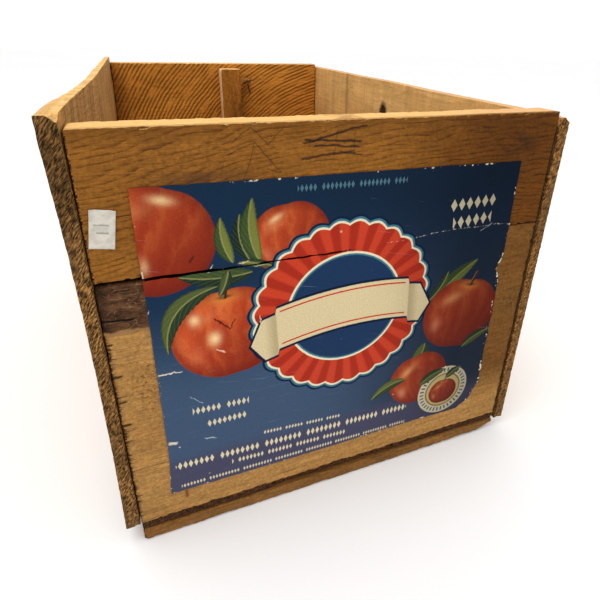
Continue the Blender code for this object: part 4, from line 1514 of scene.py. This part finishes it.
def label_material():
    """An old fruit label: fruit and leaves on dark blue, paler below, with painted shade towards the right
    and the top, scratched and torn.
    """
    m = Material("label_print")
    height = m.z - END_LEVEL
    mottle = noise(spot(m.x * 0.03, 0.0, m.z * 0.03), 4.0, 0.6)
    shadow = rise(m.x + (mottle - 0.5) * 40.0, 0.0, 115.0, 1.0, 0.5) * rise(height, 190.0, 225.0, 1.0, 0.86)
    # painted shade: the blue ground darker towards the right; it is also paler towards the bottom
    upper = mix(rise(m.x, -90.0, 60.0), srgb(24, 46, 69), srgb(22, 38, 58))
    lower = mix(rise(m.x, -50.0, 90.0), srgb(60, 79, 105), srgb(32, 45, 64))
    paler_below = rise(height + mottle * 30.0 - rise(m.x, -90.0, 20.0) * 36.0, 190.0, 104.0)
    ground = mix(rise(height + mottle * 16.0, 62.0, 46.0), mix(paler_below, upper, lower), srgb(66, 66, 89))
    art = Art(m, ground)
    print_art(art)
    colour, grain = weather_paper(m, art.colour, shadow, mottle)
    fibres = noise(spot(m.x * 0.6, 0.0, m.z * 0.6), 5.0, 0.75)
    relief = fibres * 0.10 + mottle * 0.1
    gloss = rise(grain, 0.3, 0.7, 0.42, 0.62)
    return m.finish(colour, gloss, relief, 0.02)


def build_sticker():
    """A small price sticker, its upper corners lifting, with two faint plain dashes."""
    low, high = box_mm("price_sticker")
    middle = (low + high) / 2
    wide, tall, tilt = 11.8, 20.6, math.radians(-9)
    columns, rows = 15, 25
    across, up = np.meshgrid(np.linspace(-0.5, 0.5, columns), np.linspace(-0.5, 0.5, rows))
    across, up = across.ravel(), up.ravel()
    turned_x = across * wide * math.cos(tilt) - up * tall * math.sin(tilt)
    turned_z = across * wide * math.sin(tilt) + up * tall * math.cos(tilt)
    corner = ramp(np.abs(across) + np.abs(up), 0.72, 1.0)
    y = high[1] - 0.18 - 0.7 * corner * (up > 0) - 0.2 * corner
    points = np.stack([middle[0] + turned_x, y, middle[2] + turned_z], axis=1)
    faces = sheet_faces(np.arange(rows * columns).reshape(rows, columns))
    m = Material("sticker_print")
    haze = noise(spot(m.x * 0.25, 0.0, m.z * 0.25), 4.0, 0.6)
    colour = mix(rise(haze, 0.3, 0.7), srgb(184, 177, 163), srgb(208, 202, 189))
    for level, half in ((2.4, 3.4), (-1.8, 2.6)):
        line = absolute(m.z - (middle[2] + level) + (m.x - middle[0]) * 0.16 + (haze - 0.5) * 1.5)
        line = rise(line, 0.6, 0.3) * rise(absolute(m.x - middle[0]), half + 0.3, half)
        colour = mix(line * 0.6, colour, srgb(110, 108, 112))
    material = m.finish(colour, 0.55, haze * 0.1, 0.3)
    piece = new_piece("sticker_paper", points, faces, material, ["price_sticker"], 60)
    thicken(piece, 0.15)


def nail_mesh(length, seed):
    """A hammered round head with an uneven rim, on a tapering shank, driven along -Z from the origin."""
    sides = 26
    turns = np.linspace(0, math.tau, sides, endpoint=False)
    profile = (
        (0.0001, 0.10), (0.9, 0.16), (1.9, 0.12), (2.7, -0.02), (3.1, -0.25), (3.2, -0.55), (3.05, -0.95),
        (2.2, -1.15), (1.3, -1.3), (1.2, -2.4), (1.2, -length + 4), (0.7, -length + 1.5), (0.0001, -length),
    )
    rings = []
    for radius, level in profile:
        uneven = np.stack([np.cos(turns) * radius, np.sin(turns) * radius, turns * 0 + level], axis=1)
        wear = wander(uneven + (seed * 7.3, 0, 0), 2.2, seed, 2)
        grow = 1 + 0.05 * wear if level > -1.2 else 1 + 0 * wear
        ring = uneven * np.stack([grow, grow, turns * 0 + 1], axis=1)
        ring[:, 2] += 0.10 * wear
        rings.append(ring)
    points = np.concatenate(rings)
    number = np.arange(len(points)).reshape(len(profile), sides)
    after = np.roll(number, -1, axis=1)
    quads = np.stack([number[:-1], number[1:], after[1:], after[:-1]], axis=-1).reshape(-1, 4)
    return points, quads


def build_metal():
    """Rusty nails in place of the CAD nails, and rust on the corrugated fasteners."""
    iron = rust("rusty_iron")
    for order, (name, head, axis, side) in enumerate(nail_heads()):
        low, high = box_mm(name)
        points, faces = nail_mesh(high[axis] - low[axis], order % 5 + 1)
        if side < 0:
            points = points * (1, -1, -1)
        order_of_axes = {0: (2, 0, 1), 1: (1, 2, 0), 2: (0, 1, 2)}[axis]
        points = points[:, order_of_axes] + head
        if axis == 0 and side < 0:
            points[:, 0] += side_lean(head[None])[0]  # the left board's nails lean in with it
        piece = new_piece(f"{name}_rusty", points, faces, iron, [name], 50)
        close_tips(piece.data)
    for name in nodes_named("fastener"):
        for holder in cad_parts[name].material_slots:
            holder.material = iron


def close_tips(mesh):
    """Joins the tiny rings at the nail's two ends into single points."""
    shape = bmesh.new()
    shape.from_mesh(mesh)
    bmesh.ops.remove_doubles(shape, verts=shape.verts, dist=0.00001)
    shape.to_mesh(mesh)
    shape.free()


add_camera()
add_light()
add_floor()
build_boards()
build_label()
build_sticker()
build_metal()
